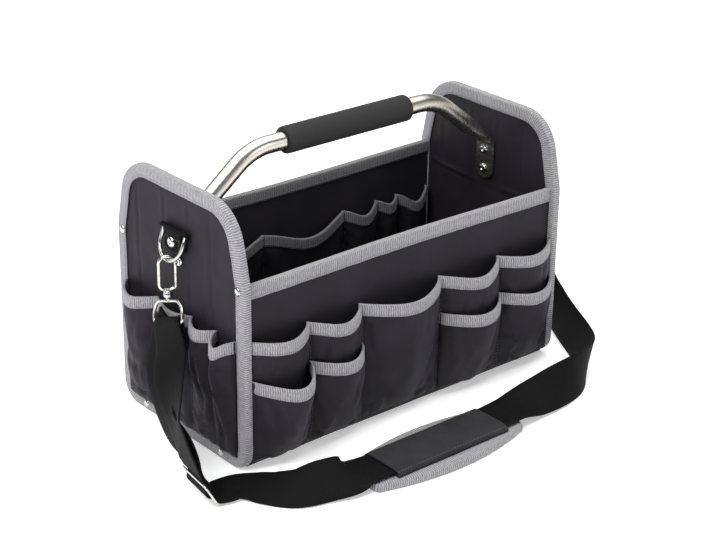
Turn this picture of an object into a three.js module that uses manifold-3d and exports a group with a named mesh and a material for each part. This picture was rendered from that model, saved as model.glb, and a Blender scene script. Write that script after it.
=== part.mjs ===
import * as THREE from 'three';
import { mergeVertices } from 'three/addons/utils/BufferGeometryUtils.js';
import Module from 'manifold-3d';

// Open top tool tote. Millimetres, +Z up, origin on the floor under the middle of the bag.
// X runs along the bag, the front with its double pockets looks towards -Y.

const wasm = await Module();
wasm.setup();

// Driving dimensions of the bag
const LENGTH = 400;
const WIDTH = 204;
const RIM_HEIGHT = 188;
const END_HEIGHT = 263;
const WALL = 5;
const END_WALL = 6;
const BASE_WALL = 5;
const BASE_EDGE_RADIUS = 9;
const EDGE_PROUD = 7;
const RIM_BOW = 4;
const WALL_STEPS = 10;
const GAP = 0.3;

// Outline of the end panels
const END_SHOULDER = 16;
const END_TOP_RADIUS = 42;
const END_FOOT_RADIUS = 20;

// Cloth and edge tape
const CLOTH = 1.4;
const TAPE = 1;
const POCKET_TAPE_DROP = 11;
const RIM_TAPE_DROP = 12;
const END_TAPE_DROP = 12;

// Heights of the pocket rows' top edges
const POCKET_HEIGHT = 133;
const LOW_POCKET_HEIGHT = 94;
const BACK_POCKET_HEIGHT = 131;
const INNER_POCKET_HEIGHT = 136;
const INNER_ROW_RAISE = 18;

// Handle
const TUBE_RADIUS = 9;
const HANDLE_HEIGHT = 274;
const HANDLE_STRAIGHT = 190;
const HANDLE_BEND_RADIUS = 62;
const HANDLE_SLOPE = THREE.MathUtils.degToRad(41);
const PLATE_THICKNESS = 4;
const PLATE_WIDTH = 25;
const PLATE_BELOW_BOLT = 11;
const PLATE_ABOVE_BOLT = 11;
const FLATTENED_RUN = 38;
const GRIP_LENGTH = 155;
const GRIP_RADIUS = 13.5;
const GRIP_EDGE = 2.5;

// Bolts and rivets
const BOLT_HEIGHT = 183;
const BOLT_SPACING = 21;
const BOLT_HEAD_RADIUS = 5.5;
const BOLT_HEAD_RISE = 2.6;
const BOLT_SHANK_RADIUS = 2.5;
const RIVET_HEAD_RADIUS = 4.2;
const RIVET_HEAD_RISE = 2;
const RIVET_SHANK_RADIUS = 1.8;
const RIVET_DEPTH = 4;
const RIVET_BELOW_RIM = 3;
const RIVET_ABOVE_FLOOR = 7.5;

// Strap and its fittings
const WEBBING = 42;
const WEBBING_THICKNESS = 1.6;
const STEPS_A_SPAN = 2;
const WIRE_RADIUS = 1.8;
const RING_WIDTH = 38;
const RING_DROP = 30;
const RING_SWING = THREE.MathUtils.degToRad(20);
const TAB_WIDTH = 41;
const TAB_TONGUE_WIDTH = 28;
const TAB_LENGTH = 26;
const TAB_LAYER = 1.6;
const HOOK_EYE_WIDTH = 12;
const HOOK_EYE_HEIGHT = 30;
const HOOK_WIRE = 3.4;
const HOOK_YAW = THREE.MathUtils.degToRad(30);
const HOOK_NOSE = 6;
const HOOK_CORNER = 5;
const GATE_LENGTH = 17;
const GATE_WIRE = 2.8;
const BARREL_RADIUS = 4.5;
const BARREL_HEIGHT = 8;
const POST_RADIUS = 2.2;
const LOOP_HEIGHT = 20;
const LOOP_CORNER = 3.5;
const LOOP_SHOULDER = 12;
const LOOP_NECK = 2.4;
const LOOP_POST = 8.5;
const LOOP_WIRE_RADIUS = 1.6;
const SLIDER_BAR = 5;
const SLIDER_THICKNESS = 2.4;
const SLIDER_SLOT = 6;
const SLIDER_PLAY = 1.2;

// Shoulder pad
const PAD_LENGTH = 190;
const PAD_WIDTH = 76;
const PAD_THICKNESS = 6;
const PAD_TAPE_DROP = 12;
const PAD_X = -0.17 * (LENGTH / 2);
const PAD_Y = -1.775 * (WIDTH / 2);
const SLEEVE_WIDTH = 50;
const SLEEVE_LENGTH = 140;
const SLEEVE_ROOM = 2.4;

// Places worked out from the dimensions above
const PANEL_INNER = LENGTH / 2 - END_WALL;
const TAPE_STACK = GAP + TAPE;
const SEATED_END = PANEL_INNER - TAPE_STACK - GAP;
const FACE_Y = WIDTH / 2 - EDGE_PROUD;
const INNER_FACE_Y = FACE_Y - WALL;
const PANEL_HALF_WIDTH = WIDTH / 2 - TAPE_STACK;
const PANEL_TOP = END_HEIGHT - TAPE_STACK;
const WALL_BOTTOM = BASE_EDGE_RADIUS + GAP;
const WALL_TOP = RIM_HEIGHT - TAPE_STACK;
const ROW_BOTTOM = WALL_BOTTOM + 1;
const LEG_CENTRE = CLOTH / 2 + TAPE_STACK + GAP;
const END_CLEAR_Y = WIDTH / 2 - END_TAPE_DROP - TAPE_STACK - GAP;
const END_CLEAR_Z = END_TAPE_DROP + TAPE_STACK + GAP;
const UPPER_BOLT_HEIGHT = BOLT_HEIGHT + BOLT_SPACING;

const COLOURS = {
  cloth: [0x2c2b2f, 0.85, 0],
  tape: [0x97979a, 0.9, 0],
  steel: [0xc9c6bd, 0.3, 1],
  foam: [0x232323, 0.95, 0],
  chrome: [0xd6d6d6, 0.15, 1],
  webbing: [0x222223, 0.9, 0],
};

// Builds one closed mesh through sections that each run along one side and back along the
// other. Both sides split their quads on the same diagonal, so the thickness stays even.
function loft(sections, closed = false) {
  const count = sections[0].length;
  const positions = sections.flat().flatMap((p) => [p.x, p.y, p.z]);
  const index = [];
  const last = closed ? sections.length : sections.length - 1;
  for (let i = 0; i < last; i += 1) {
    const a = i * count;
    const b = ((i + 1) % sections.length) * count;
    for (let j = 0; j < count; j += 1) {
      const k = (j + 1) % count;
      if (j < count / 2) index.push(a + j, a + k, b + k, a + j, b + k, b + j);
      else index.push(a + j, a + k, b + j, a + k, b + k, b + j);
    }
  }
  if (!closed) {
    const end = (sections.length - 1) * count;
    for (let j = 0; j < count / 2 - 1; j += 1) {
      const k = count - 1 - j;
      index.push(j, k, k - 1, j, k - 1, j + 1);
      index.push(end + j, end + k - 1, end + k, end + j, end + j + 1, end + k - 1);
    }
  }
  const geometry = new THREE.BufferGeometry();
  geometry.setAttribute('position', new THREE.Float32BufferAttribute(positions, 3));
  geometry.setIndex(index);
  return outward(geometry);
}

// Turns the faces round where the mesh is inside out
function outward(geometry) {
  const p = geometry.attributes.position;
  const index = geometry.index.array;
  const [a, b, c] = [new THREE.Vector3(), new THREE.Vector3(), new THREE.Vector3()];
  let volume = 0;
  for (let i = 0; i < index.length; i += 3) {
    a.fromBufferAttribute(p, index[i]);
    b.fromBufferAttribute(p, index[i + 1]);
    c.fromBufferAttribute(p, index[i + 2]);
    volume += a.dot(b.cross(c));
  }
  if (volume < 0) {
    for (let i = 0; i < index.length; i += 3) {
      [index[i], index[i + 1]] = [index[i + 1], index[i]];
    }
  }
  return geometry;
}

// Booleans between geometries
function solid(geometry) {
  const bare = geometry.clone();
  bare.deleteAttribute('normal');
  bare.deleteAttribute('uv');
  const merged = mergeVertices(bare, 1e-4);
  return new wasm.Manifold(new wasm.Mesh({
    numProp: 3,
    vertProperties: new Float32Array(merged.attributes.position.array),
    triVerts: new Uint32Array(merged.index.array),
  }));
}

function fromSolid(body) {
  const mesh = body.getMesh();
  const geometry = new THREE.BufferGeometry();
  geometry.setAttribute('position', new THREE.BufferAttribute(mesh.vertProperties, 3));
  geometry.setIndex(new THREE.BufferAttribute(mesh.triVerts, 1));
  return geometry;
}

function cut(geometry, tools) {
  return fromSolid(tools.reduce((body, tool) => body.subtract(solid(tool)), solid(geometry)));
}

function join(geometries) {
  return fromSolid(geometries.map(solid).reduce((body, next) => body.add(next)));
}

// Small geometry makers
function rodAlongX(radius, from, to, x = 0, y = 0, z = 0, sides = 10) {
  const rod = new THREE.CylinderGeometry(radius, radius, Math.abs(to - from), sides);
  rod.rotateZ(Math.PI / 2);
  rod.translate(x + (from + to) / 2, y, z);
  return rod;
}

function sectionRing(centre, across, up, halfAcross, halfUp, sides, squareness = 2) {
  const ring = [];
  for (let i = 0; i < sides; i += 1) {
    const angle = (2 * Math.PI * (i + 0.5)) / sides - Math.PI / 2;
    const c = Math.cos(angle);
    const s = Math.sin(angle);
    const a = Math.sign(c) * Math.abs(c) ** (2 / squareness) * halfAcross;
    const b = Math.sign(s) * Math.abs(s) ** (2 / squareness) * halfUp;
    ring.push(centre.clone().addScaledVector(across, a).addScaledVector(up, b));
  }
  return ring;
}

// A round wire swept along a flat loop or open path whose plane has the given normal
function wire(points, normal, radius, closed, sides = 6) {
  const sections = points.map((point, i) => {
    const before = points[closed ? (i - 1 + points.length) % points.length : Math.max(i - 1, 0)];
    const after = points[closed ? (i + 1) % points.length : Math.min(i + 1, points.length - 1)];
    const along = after.clone().sub(before).normalize();
    const side = along.clone().cross(normal).normalize();
    return sectionRing(point, side, normal, radius, radius, sides);
  });
  return loft(sections, closed);
}

// Edge tape with a U section: legs of the given drop each side of an edge
function tape(stations, thickness, drop, closed = false) {
  const inner = thickness / 2 + GAP;
  const outer = inner + TAPE;
  const profile = [
    [outer, drop], [outer, -TAPE_STACK], [-outer, -TAPE_STACK], [-outer, drop],
    [-inner, drop], [-inner, -GAP], [inner, -GAP], [inner, drop],
  ];
  const sections = stations.map(({ edge, out, down }) => profile.map(([o, d]) => (
    edge.clone().addScaledVector(out, o).addScaledVector(down, d))));
  return loft(sections, closed);
}

// The front and back walls bow inwards towards the middle of their rims
function bowAt(x, z) {
  const level = (z - WALL_BOTTOM) / (WALL_TOP - WALL_BOTTOM);
  return RIM_BOW * Math.cos((Math.PI * x) / LENGTH) ** 2 * THREE.MathUtils.clamp(level, 0, 1) ** 3;
}

// The faces that carry pockets: where each starts, which way it runs and which way is out
const UP = new THREE.Vector3(0, 0, 1);
const FACES = {
  front: { start: [0, -FACE_Y, 0], along: [1, 0, 0], out: [0, -1, 0], half: SEATED_END, bow: -1 },
  back: { start: [0, FACE_Y, 0], along: [1, 0, 0], out: [0, 1, 0], half: SEATED_END, bow: -1 },
  left: { start: [-LENGTH / 2, 0, 0], along: [0, 1, 0], out: [-1, 0, 0], half: END_CLEAR_Y, bow: 0 },
  right: { start: [LENGTH / 2, 0, 0], along: [0, 1, 0], out: [1, 0, 0], half: END_CLEAR_Y, bow: 0 },
  inside: { start: [0, INNER_FACE_Y, 0], along: [1, 0, 0], out: [0, -1, 0], half: SEATED_END, bow: 1 },
};

function onFace(face, s, z, out) {
  return new THREE.Vector3(...face.start)
    .addScaledVector(new THREE.Vector3(...face.along), s)
    .addScaledVector(UP, z)
    .addScaledVector(new THREE.Vector3(...face.out), out + face.bow * bowAt(s, z));
}

// Pocket rows. Seams are shares of the face's half length, bulges and sags are shares of the
// row's height, one row of the table for each bay from low to high along the face.
const POCKET_ROWS = {
  front_upper: {
    face: 'front', bottom: ROW_BOTTOM, top: POCKET_HEIGHT, lift: LEG_CENTRE, rise: 0.75,
    bays: [
      { from: -1, to: -0.65, bulge: 0.15, sag: 0.02, steps: 6 },
      { from: -0.65, to: -0.32, bulge: 0.16, sag: 0.03, steps: 6 },
      { from: -0.32, to: 0.21, bulge: 0.21, sag: 0.03, steps: 8 },
      { from: 0.21, to: 0.62, bulge: 0.17, sag: 0.04, steps: 6 },
      { from: 0.62, to: 1, bulge: 0.15, sag: 0.02, steps: 6 },
    ],
  },
  front_lower_left: {
    face: 'front', bottom: ROW_BOTTOM, top: LOW_POCKET_HEIGHT, lift: LEG_CENTRE + CLOTH / 2, rise: 0.6,
    under: 'front_upper',
    bays: [
      { from: -1, to: -0.65, bulge: 0.24, sag: 0.05, steps: 6 },
      { from: -0.65, to: -0.32, bulge: 0.1, sag: 0.02, steps: 6 },
    ],
  },
  front_lower_right: {
    face: 'front', bottom: ROW_BOTTOM, top: LOW_POCKET_HEIGHT, lift: LEG_CENTRE + CLOTH / 2, rise: 0.6,
    under: 'front_upper',
    bays: [
      { from: 0.21, to: 0.62, bulge: 0.12, sag: 0.03, steps: 6 },
      { from: 0.62, to: 1, bulge: 0.1, sag: 0.03, steps: 6 },
    ],
  },
  back: {
    face: 'back', bottom: ROW_BOTTOM, top: BACK_POCKET_HEIGHT, lift: LEG_CENTRE, rise: 0.75,
    bays: [
      { from: -1, to: -0.6, bulge: 0.12, sag: 0.02, steps: 4 },
      { from: -0.6, to: -0.2, bulge: 0.12, sag: 0.02, steps: 4 },
      { from: -0.2, to: 0.2, bulge: 0.12, sag: 0.02, steps: 4 },
      { from: 0.2, to: 0.6, bulge: 0.12, sag: 0.02, steps: 4 },
      { from: 0.6, to: 1, bulge: 0.12, sag: 0.02, steps: 4 },
    ],
  },
  left_end: {
    face: 'left', bottom: END_CLEAR_Z, top: POCKET_HEIGHT, lift: LEG_CENTRE, rise: 0.7,
    bays: [
      { from: -1, to: -0.67, bulge: 0.13, sag: 0.06, steps: 5 },
      { from: -0.67, to: -0.23, bulge: 0.09, sag: 0.02, steps: 5 },
      { from: -0.23, to: 0.41, bulge: 0.05, sag: 0.02, steps: 6 },
      { from: 0.41, to: 1, bulge: 0.13, sag: 0.03, steps: 6 },
    ],
  },
  right_end: {
    face: 'right', bottom: END_CLEAR_Z, top: POCKET_HEIGHT, lift: LEG_CENTRE, rise: 0.7,
    bays: [
      { from: -1, to: -0.67, bulge: 0.13, sag: 0.06, steps: 5 },
      { from: -0.67, to: -0.23, bulge: 0.09, sag: 0.02, steps: 5 },
      { from: -0.23, to: 0.41, bulge: 0.05, sag: 0.02, steps: 6 },
      { from: 0.41, to: 1, bulge: 0.13, sag: 0.03, steps: 6 },
    ],
  },
  inner: {
    face: 'inside', bottom: BASE_WALL + INNER_ROW_RAISE, top: INNER_POCKET_HEIGHT, lift: LEG_CENTRE, rise: 0.5,
    bays: [
      { from: -0.98, to: -0.2, bulge: 0.16, sag: 0.11, steps: 8 },
      { from: -0.2, to: 0.36, bulge: 0.13, sag: 0.1, steps: 7 },
      { from: 0.36, to: 0.6, bulge: 0.1, sag: 0.07, steps: 5 },
      { from: 0.6, to: 0.75, bulge: 0.08, sag: 0.04, steps: 4 },
      { from: 0.75, to: 0.98, bulge: 0.1, sag: 0.09, steps: 5 },
    ],
  },
};
const POCKET_CREASE = 0.35;

// Long rows are sewn together from three cloths. Each takes the row's bays from the first
// number up to the second.
const ROW_CLOTHS = {
  front_upper: { left: [0, 2], middle: [2, 3], right: [3, 5] },
  back: { left: [0, 2], middle: [2, 3], right: [3, 5] },
  inner: { left: [0, 1], middle: [1, 2], right: [2, 5] },
};

// How far a pocket row's cloth stands off its face at a place s along it and a height z
function standOff(row, s, z) {
  const face = FACES[row.face];
  const share = s / face.half;
  const bay = row.bays.find((b) => share >= b.from - 1e-9 && share <= b.to + 1e-9);
  if (!bay) return row.lift;
  const height = row.top - row.bottom;
  const top = topHeight(row, share, bay);
  const level = THREE.MathUtils.clamp((z - row.bottom) / (top - POCKET_TAPE_DROP - row.bottom), 0, 1);
  const across = THREE.MathUtils.clamp((share - bay.from) / (bay.to - bay.from), 0, 1);
  const swell = Math.sin(Math.PI * across) ** 0.75;
  const backing = Math.min(z + POCKET_TAPE_DROP * level, top);
  const below = row.under ? standOff(POCKET_ROWS[row.under], s, backing) : 0;
  return row.lift + below + bay.bulge * height * swell * level ** row.rise;
}

function topHeight(row, share, bay) {
  const across = (share - bay.from) / (bay.to - bay.from);
  return row.top - bay.sag * (row.top - row.bottom) * Math.sin(Math.PI * across) ** 2;
}

function rowTop(row, share) {
  const bay = row.bays.find((b) => share >= b.from - 1e-9 && share <= b.to + 1e-9);
  return topHeight(row, share, bay);
}

// Places along a row, with the heights of its top edge and of its crease there. A row over
// another one creases at the same height as that one.
function rowStations(row, first = 0, end = row.bays.length) {
  const face = FACES[row.face];
  const stations = [];
  row.bays.slice(first, end).forEach((bay, number) => {
    for (let i = number === 0 ? 0 : 1; i <= bay.steps; i += 1) {
      const share = bay.from + ((bay.to - bay.from) * i) / bay.steps;
      const top = topHeight(row, share, bay);
      const behind = row.under ? rowTop(POCKET_ROWS[row.under], share) : top;
      const crease = row.bottom + (behind - row.bottom) * POCKET_CREASE;
      stations.push({ s: share * face.half, top, crease });
    }
  });
  return stations;
}

// The cloth of some of a row's bays, which stops just short of the cloth next to it
function pocketCloth(row, first = 0, end = row.bays.length) {
  const face = FACES[row.face];
  const stations = rowStations(row, first, end);
  const sections = stations.map(({ s, top, crease }, i) => {
    const levels = [row.bottom, crease, top - POCKET_TAPE_DROP, top];
    let place = s;
    if (i === 0 && first > 0) place += GAP / 2;
    if (i === stations.length - 1 && end < row.bays.length) place -= GAP / 2;
    const side = (out) => levels.map((z) => onFace(face, place, z, standOff(row, s, z) + out));
    return [...side(CLOTH / 2), ...side(-CLOTH / 2).reverse()];
  });
  return loft(sections);
}

function pocketTape(row) {
  const face = FACES[row.face];
  const out = new THREE.Vector3(...face.out);
  const stations = rowStations(row).map(({ s, top }) => ({
    edge: onFace(face, s, top, standOff(row, s, top)),
    out,
    down: onFace(face, s, top - POCKET_TAPE_DROP, standOff(row, s, top - POCKET_TAPE_DROP))
      .sub(onFace(face, s, top, standOff(row, s, top))).divideScalar(POCKET_TAPE_DROP),
  }));
  return tape(stations, CLOTH, POCKET_TAPE_DROP);
}

// End panel outline, from the middle of the bottom anticlockwise
function endOutline(inset) {
  const shape = new THREE.Shape();
  const half = PANEL_HALF_WIDTH - inset;
  const top = PANEL_TOP - inset;
  const bottom = TAPE_STACK + inset;
  const foot = END_FOOT_RADIUS - inset;
  const lean = Math.atan(END_SHOULDER / (END_HEIGHT - RIM_HEIGHT));
  const corner = half - END_SHOULDER;
  const radius = END_TOP_RADIUS - inset;
  const turn = Math.PI / 2 - lean;
  const tangent = radius * Math.tan(turn / 2);
  shape.moveTo(-half + foot, bottom);
  shape.lineTo(half - foot, bottom);
  shape.absarc(half - foot, bottom + foot, foot, -Math.PI / 2, 0);
  shape.lineTo(half, RIM_HEIGHT);
  shape.absarc(corner - tangent, top - radius, radius, lean, Math.PI / 2);
  shape.absarc(-corner + tangent, top - radius, radius, Math.PI / 2, Math.PI - lean);
  shape.lineTo(-half, RIM_HEIGHT);
  shape.lineTo(-half, bottom + foot);
  shape.absarc(-half + foot, bottom + foot, foot, Math.PI, 1.5 * Math.PI);
  return shape;
}

function outlinePoints() {
  const points = endOutline(0).getPoints(2);
  const kept = points.filter((p, i) => i === 0 || p.distanceTo(points[i - 1]) > 0.5);
  return kept[0].distanceTo(kept[kept.length - 1]) < 0.5 ? kept.slice(0, -1) : kept;
}

const RIVET_PLACES = [
  { y: -0.91, z: RIM_HEIGHT - RIVET_BELOW_RIM },
  { y: 0.91, z: RIM_HEIGHT - RIVET_BELOW_RIM },
  { y: -0.61, z: RIVET_ABOVE_FLOOR },
  { y: 0.61, z: RIVET_ABOVE_FLOOR },
].map(({ y, z }) => ({ y: y * (WIDTH / 2), z }));

function rivetHoles(side) {
  const face = side * (LENGTH / 2);
  const outerFace = face + side * (TAPE_STACK + 1);
  return RIVET_PLACES.map(({ y, z }) => (
    rodAlongX(RIVET_SHANK_RADIUS + GAP, face - side * (RIVET_DEPTH + GAP), outerFace, 0, y, z, 8)));
}

function boltHoles() {
  const reach = LENGTH / 2 + 4 * END_WALL;
  return [BOLT_HEIGHT, UPPER_BOLT_HEIGHT].map((z) => (
    rodAlongX(BOLT_SHANK_RADIUS + GAP, -reach, reach, 0, 0, z, 10)));
}

function endPanel(side) {
  const shape = new THREE.Shape(outlinePoints());
  const panel = new THREE.ExtrudeGeometry(shape, { depth: END_WALL, bevelEnabled: false });
  panel.rotateX(Math.PI / 2);
  panel.rotateZ(Math.PI / 2);
  panel.translate(side > 0 ? PANEL_INNER : -LENGTH / 2, 0, 0);
  return cut(panel, [...boltHoles(), ...rivetHoles(side)]);
}

function endTape(side) {
  const points = outlinePoints();
  const x = side * (LENGTH / 2 - END_WALL / 2);
  const out = new THREE.Vector3(side, 0, 0);
  const stations = points.map((point, i) => {
    const before = points[(i - 1 + points.length) % points.length];
    const after = points[(i + 1) % points.length];
    const along = after.clone().sub(before).normalize();
    return {
      edge: new THREE.Vector3(x, point.x, point.y),
      out,
      down: new THREE.Vector3(0, -along.y, along.x),
    };
  });
  return cut(tape(stations, END_WALL, END_TAPE_DROP, true), rivetHoles(side));
}

function wallStations() {
  return Array.from({ length: WALL_STEPS + 1 }, (_, i) => (
    SEATED_END * (2 * (i / WALL_STEPS) - 1)));
}

function sideWall(side) {
  const levels = [WALL_BOTTOM, 0.72 * WALL_TOP, 0.88 * WALL_TOP, WALL_TOP];
  const sections = wallStations().map((x) => {
    const outer = levels.map((z) => new THREE.Vector3(x, side * (FACE_Y - bowAt(x, z)), z));
    const inner = levels.map((z) => (
      new THREE.Vector3(x, side * (INNER_FACE_Y - bowAt(x, z)), z)));
    return [...outer, ...inner.reverse()];
  });
  return loft(sections);
}

function rimTape(side) {
  const out = new THREE.Vector3(0, side, 0);
  const stations = wallStations().map((x) => {
    const middle = FACE_Y - WALL / 2;
    const top = new THREE.Vector3(x, side * (middle - bowAt(x, WALL_TOP)), WALL_TOP);
    const low = WALL_TOP - RIM_TAPE_DROP;
    const foot = new THREE.Vector3(x, side * (middle - bowAt(x, low)), low);
    return { edge: top, out, down: foot.sub(top).divideScalar(RIM_TAPE_DROP) };
  });
  return tape(stations, WALL, RIM_TAPE_DROP);
}

function basePanel() {
  const shape = new THREE.Shape();
  const flat = FACE_Y - BASE_EDGE_RADIUS;
  const inner = BASE_EDGE_RADIUS - BASE_WALL;
  shape.moveTo(-flat, 0);
  shape.lineTo(flat, 0);
  shape.absarc(flat, BASE_EDGE_RADIUS, BASE_EDGE_RADIUS, -Math.PI / 2, 0);
  shape.lineTo(FACE_Y - BASE_WALL, BASE_EDGE_RADIUS);
  shape.absarc(flat, BASE_EDGE_RADIUS, inner, 0, -Math.PI / 2, true);
  shape.lineTo(-flat, BASE_WALL);
  shape.absarc(-flat, BASE_EDGE_RADIUS, inner, -Math.PI / 2, Math.PI, true);
  shape.lineTo(-FACE_Y, BASE_EDGE_RADIUS);
  shape.absarc(-flat, BASE_EDGE_RADIUS, BASE_EDGE_RADIUS, Math.PI, 1.5 * Math.PI);
  const panel = new THREE.ExtrudeGeometry(shape, {
    depth: 2 * SEATED_END, bevelEnabled: false, curveSegments: 4,
  });
  panel.rotateX(Math.PI / 2);
  panel.rotateZ(Math.PI / 2);
  panel.translate(-SEATED_END, 0, 0);
  return panel;
}

// Handle: a round tube whose ends are pressed flat and turned down inside the end panels
const PLATE_X = PANEL_INNER - GAP - PLATE_THICKNESS / 2;
const PLATE_BOTTOM = BOLT_HEIGHT - PLATE_BELOW_BOLT;
const PLATE_TOP = UPPER_BOLT_HEIGHT + PLATE_ABOVE_BOLT;

function handleHalfLine() {
  const half = HANDLE_STRAIGHT / 2;
  const points = [new THREE.Vector3(0, 0, HANDLE_HEIGHT), new THREE.Vector3(half, 0, HANDLE_HEIGHT)];
  for (let i = 1; i <= 5; i += 1) {
    const turn = (HANDLE_SLOPE * i) / 5;
    points.push(new THREE.Vector3(
      half + HANDLE_BEND_RADIUS * Math.sin(turn),
      0,
      HANDLE_HEIGHT - HANDLE_BEND_RADIUS * (1 - Math.cos(turn)),
    ));
  }
  const bendEnd = points[points.length - 1];
  const elbow = new THREE.Vector3(PLATE_X, 0, PLATE_TOP);
  points.push(bendEnd.clone().lerp(elbow, 0.35));
  points.push(bendEnd.clone().lerp(elbow, 0.7));
  points.push(bendEnd.clone().lerp(elbow, 0.92));
  for (const share of [0.1, 0.5, 0.8, 0.95, 1]) {
    points.push(new THREE.Vector3(PLATE_X, 0, PLATE_TOP + (PLATE_BOTTOM - PLATE_TOP) * share));
  }
  return points;
}

function handleTube() {
  const half = handleHalfLine();
  const left = half.slice(1).reverse().map((p) => new THREE.Vector3(-p.x, p.y, p.z));
  const line = [...left, ...half];
  const across = new THREE.Vector3(0, 1, 0);
  const flat = PLATE_WIDTH / 2;
  const sections = line.map((point, i) => {
    const before = line[Math.max(i - 1, 0)];
    const after = line[Math.min(i + 1, line.length - 1)];
    const along = after.clone().sub(before).normalize();
    const onPlate = Math.abs(Math.abs(point.x) - PLATE_X) < 1e-6;
    if (onPlate) along.set(0, 0, point.x > 0 ? -1 : 1);
    const up = along.clone().cross(across).normalize();
    const reach = Math.hypot(PLATE_X - Math.abs(point.x), Math.max(point.z - PLATE_TOP, 0));
    const pressed = 1 - THREE.MathUtils.smoothstep(reach, 0, FLATTENED_RUN);
    const fromEnd = point.z - PLATE_BOTTOM;
    const rounding = onPlate ? Math.sqrt(THREE.MathUtils.clamp(fromEnd / 9, 0.12, 1)) : 1;
    const wide = THREE.MathUtils.lerp(TUBE_RADIUS, flat, pressed) * rounding;
    const thick = THREE.MathUtils.lerp(TUBE_RADIUS, PLATE_THICKNESS / 2, pressed);
    return sectionRing(point, across, up, wide, thick, 10, 2 + 3 * pressed);
  });
  return cut(loft(sections), boltHoles());
}

function foamGrip() {
  const bore = TUBE_RADIUS + GAP;
  const half = GRIP_LENGTH / 2;
  const profile = [
    [bore, -half], [GRIP_RADIUS - GRIP_EDGE, -half], [GRIP_RADIUS, -half + GRIP_EDGE],
    [GRIP_RADIUS, half - GRIP_EDGE], [GRIP_RADIUS - GRIP_EDGE, half], [bore, half], [bore, -half],
  ].map(([r, x]) => new THREE.Vector2(r, x));
  const grip = new THREE.LatheGeometry(profile, 16);
  grip.rotateZ(-Math.PI / 2);
  grip.translate(0, 0, HANDLE_HEIGHT);
  return grip;
}

// A fastener along X: domed head at one end, and at the other a second head or a plain end
function fastener(headRadius, rise, shankRadius, tail, headFace, tailFace, side, y, z) {
  const length = Math.abs(headFace - tailFace);
  const profile = [[0, -rise], [0.65 * headRadius, -0.75 * rise], [headRadius, 0]];
  profile.push([shankRadius, 0], [shankRadius, length]);
  if (tail) profile.push([headRadius, length], [0.65 * headRadius, length + 0.75 * rise]);
  profile.push([0, tail ? length + rise : length]);
  const points = profile.map(([r, x]) => new THREE.Vector2(r, x));
  const body = new THREE.LatheGeometry(points, 8);
  body.rotateZ(side > 0 ? Math.PI / 2 : -Math.PI / 2);
  body.translate(headFace, y, z);
  return body;
}

// Strap tab and D-ring on the outer face of each end panel
const TAB_BACK = LENGTH / 2 + GAP + TAB_LAYER / 2;
const RING_X = TAB_BACK + TAB_LAYER / 2 + GAP + WIRE_RADIUS;
const TAB_FRONT = RING_X + WIRE_RADIUS + GAP + TAB_LAYER / 2;
const RING_Z = UPPER_BOLT_HEIGHT + 10;
const TAB_BOTTOM = RING_Z + WIRE_RADIUS + TAB_LAYER + GAP - TAB_LENGTH;

function ribbon(stations, thickness) {
  return loft(stations.map(({ at, across, out, width }) => {
    const corner = (a, o) => at.clone()
      .addScaledVector(across, (a * width) / 2).addScaledVector(out, (o * thickness) / 2);
    return [corner(-1, 1), corner(1, 1), corner(1, -1), corner(-1, -1)];
  }));
}

function ringTab(side) {
  const across = new THREE.Vector3(0, 1, 0);
  const turn = (TAB_FRONT - TAB_BACK) / 2;
  const narrow = TAB_TONGUE_WIDTH;
  const shoulder = RING_Z - 5;
  const place = (x, z, width, ox, oz) => ({
    at: new THREE.Vector3(side * x, 0, z),
    across,
    out: new THREE.Vector3(side * ox, 0, oz),
    width,
  });
  const stations = [
    place(TAB_BACK, TAB_BOTTOM, 0.55 * narrow, -1, 0),
    place(TAB_BACK, TAB_BOTTOM + 5, narrow, -1, 0),
    place(TAB_BACK, shoulder - 2, narrow, -1, 0),
    place(TAB_BACK, shoulder, TAB_WIDTH, -1, 0),
  ];
  for (let i = 0; i <= 6; i += 1) {
    const angle = Math.PI * (1 - i / 6);
    const c = Math.cos(angle);
    const s = Math.sin(angle);
    const width = i < 6 ? TAB_WIDTH : narrow;
    stations.push(place(RING_X + turn * c, RING_Z + turn * s, width, c, s));
  }
  stations.push(
    place(TAB_FRONT, TAB_BOTTOM + 5, narrow, 1, 0),
    place(TAB_FRONT, TAB_BOTTOM, 0.55 * narrow, 1, 0),
  );
  return cut(ribbon(stations, TAB_LAYER), boltHoles());
}

// The D-ring's wire lies in a plane that swings out about its straight bar
function ringPoint(side, y, down) {
  return new THREE.Vector3(
    side * (RING_X + down * Math.sin(RING_SWING)),
    y,
    RING_Z - down * Math.cos(RING_SWING),
  );
}

function dRing(side) {
  const half = RING_WIDTH / 2 - WIRE_RADIUS;
  const points = [ringPoint(side, half, 0), ringPoint(side, 0, 0), ringPoint(side, -half, 0)];
  const arcs = 10;
  for (let i = 0; i <= arcs; i += 1) {
    const angle = (Math.PI * i) / arcs;
    const down = RING_DROP - half - WIRE_RADIUS + half * Math.sin(angle);
    points.push(ringPoint(side, -half * Math.cos(angle), down));
  }
  const normal = new THREE.Vector3(Math.cos(RING_SWING), 0, side * Math.sin(RING_SWING));
  return wire(points, normal, WIRE_RADIUS, true);
}

// Snap hook: an eye with a sprung gate, a swivel barrel below it, and a loop for the webbing.
// It hangs upright from the lowest point of the D-ring, its plane turned by the hook yaw.
function hookFrame(side) {
  const low = ringPoint(side, 0, RING_DROP - WIRE_RADIUS);
  return {
    seat: new THREE.Vector3(low.x, 0, low.z + WIRE_RADIUS + GAP),
    over: new THREE.Vector3(side * Math.cos(HOOK_YAW), Math.sin(HOOK_YAW), 0),
    normal: new THREE.Vector3(-Math.sin(HOOK_YAW), side * Math.cos(HOOK_YAW), 0),
  };
}

function inHook(frame, over, down) {
  return frame.seat.clone().addScaledVector(frame.over, over).addScaledVector(UP, -down);
}

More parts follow.
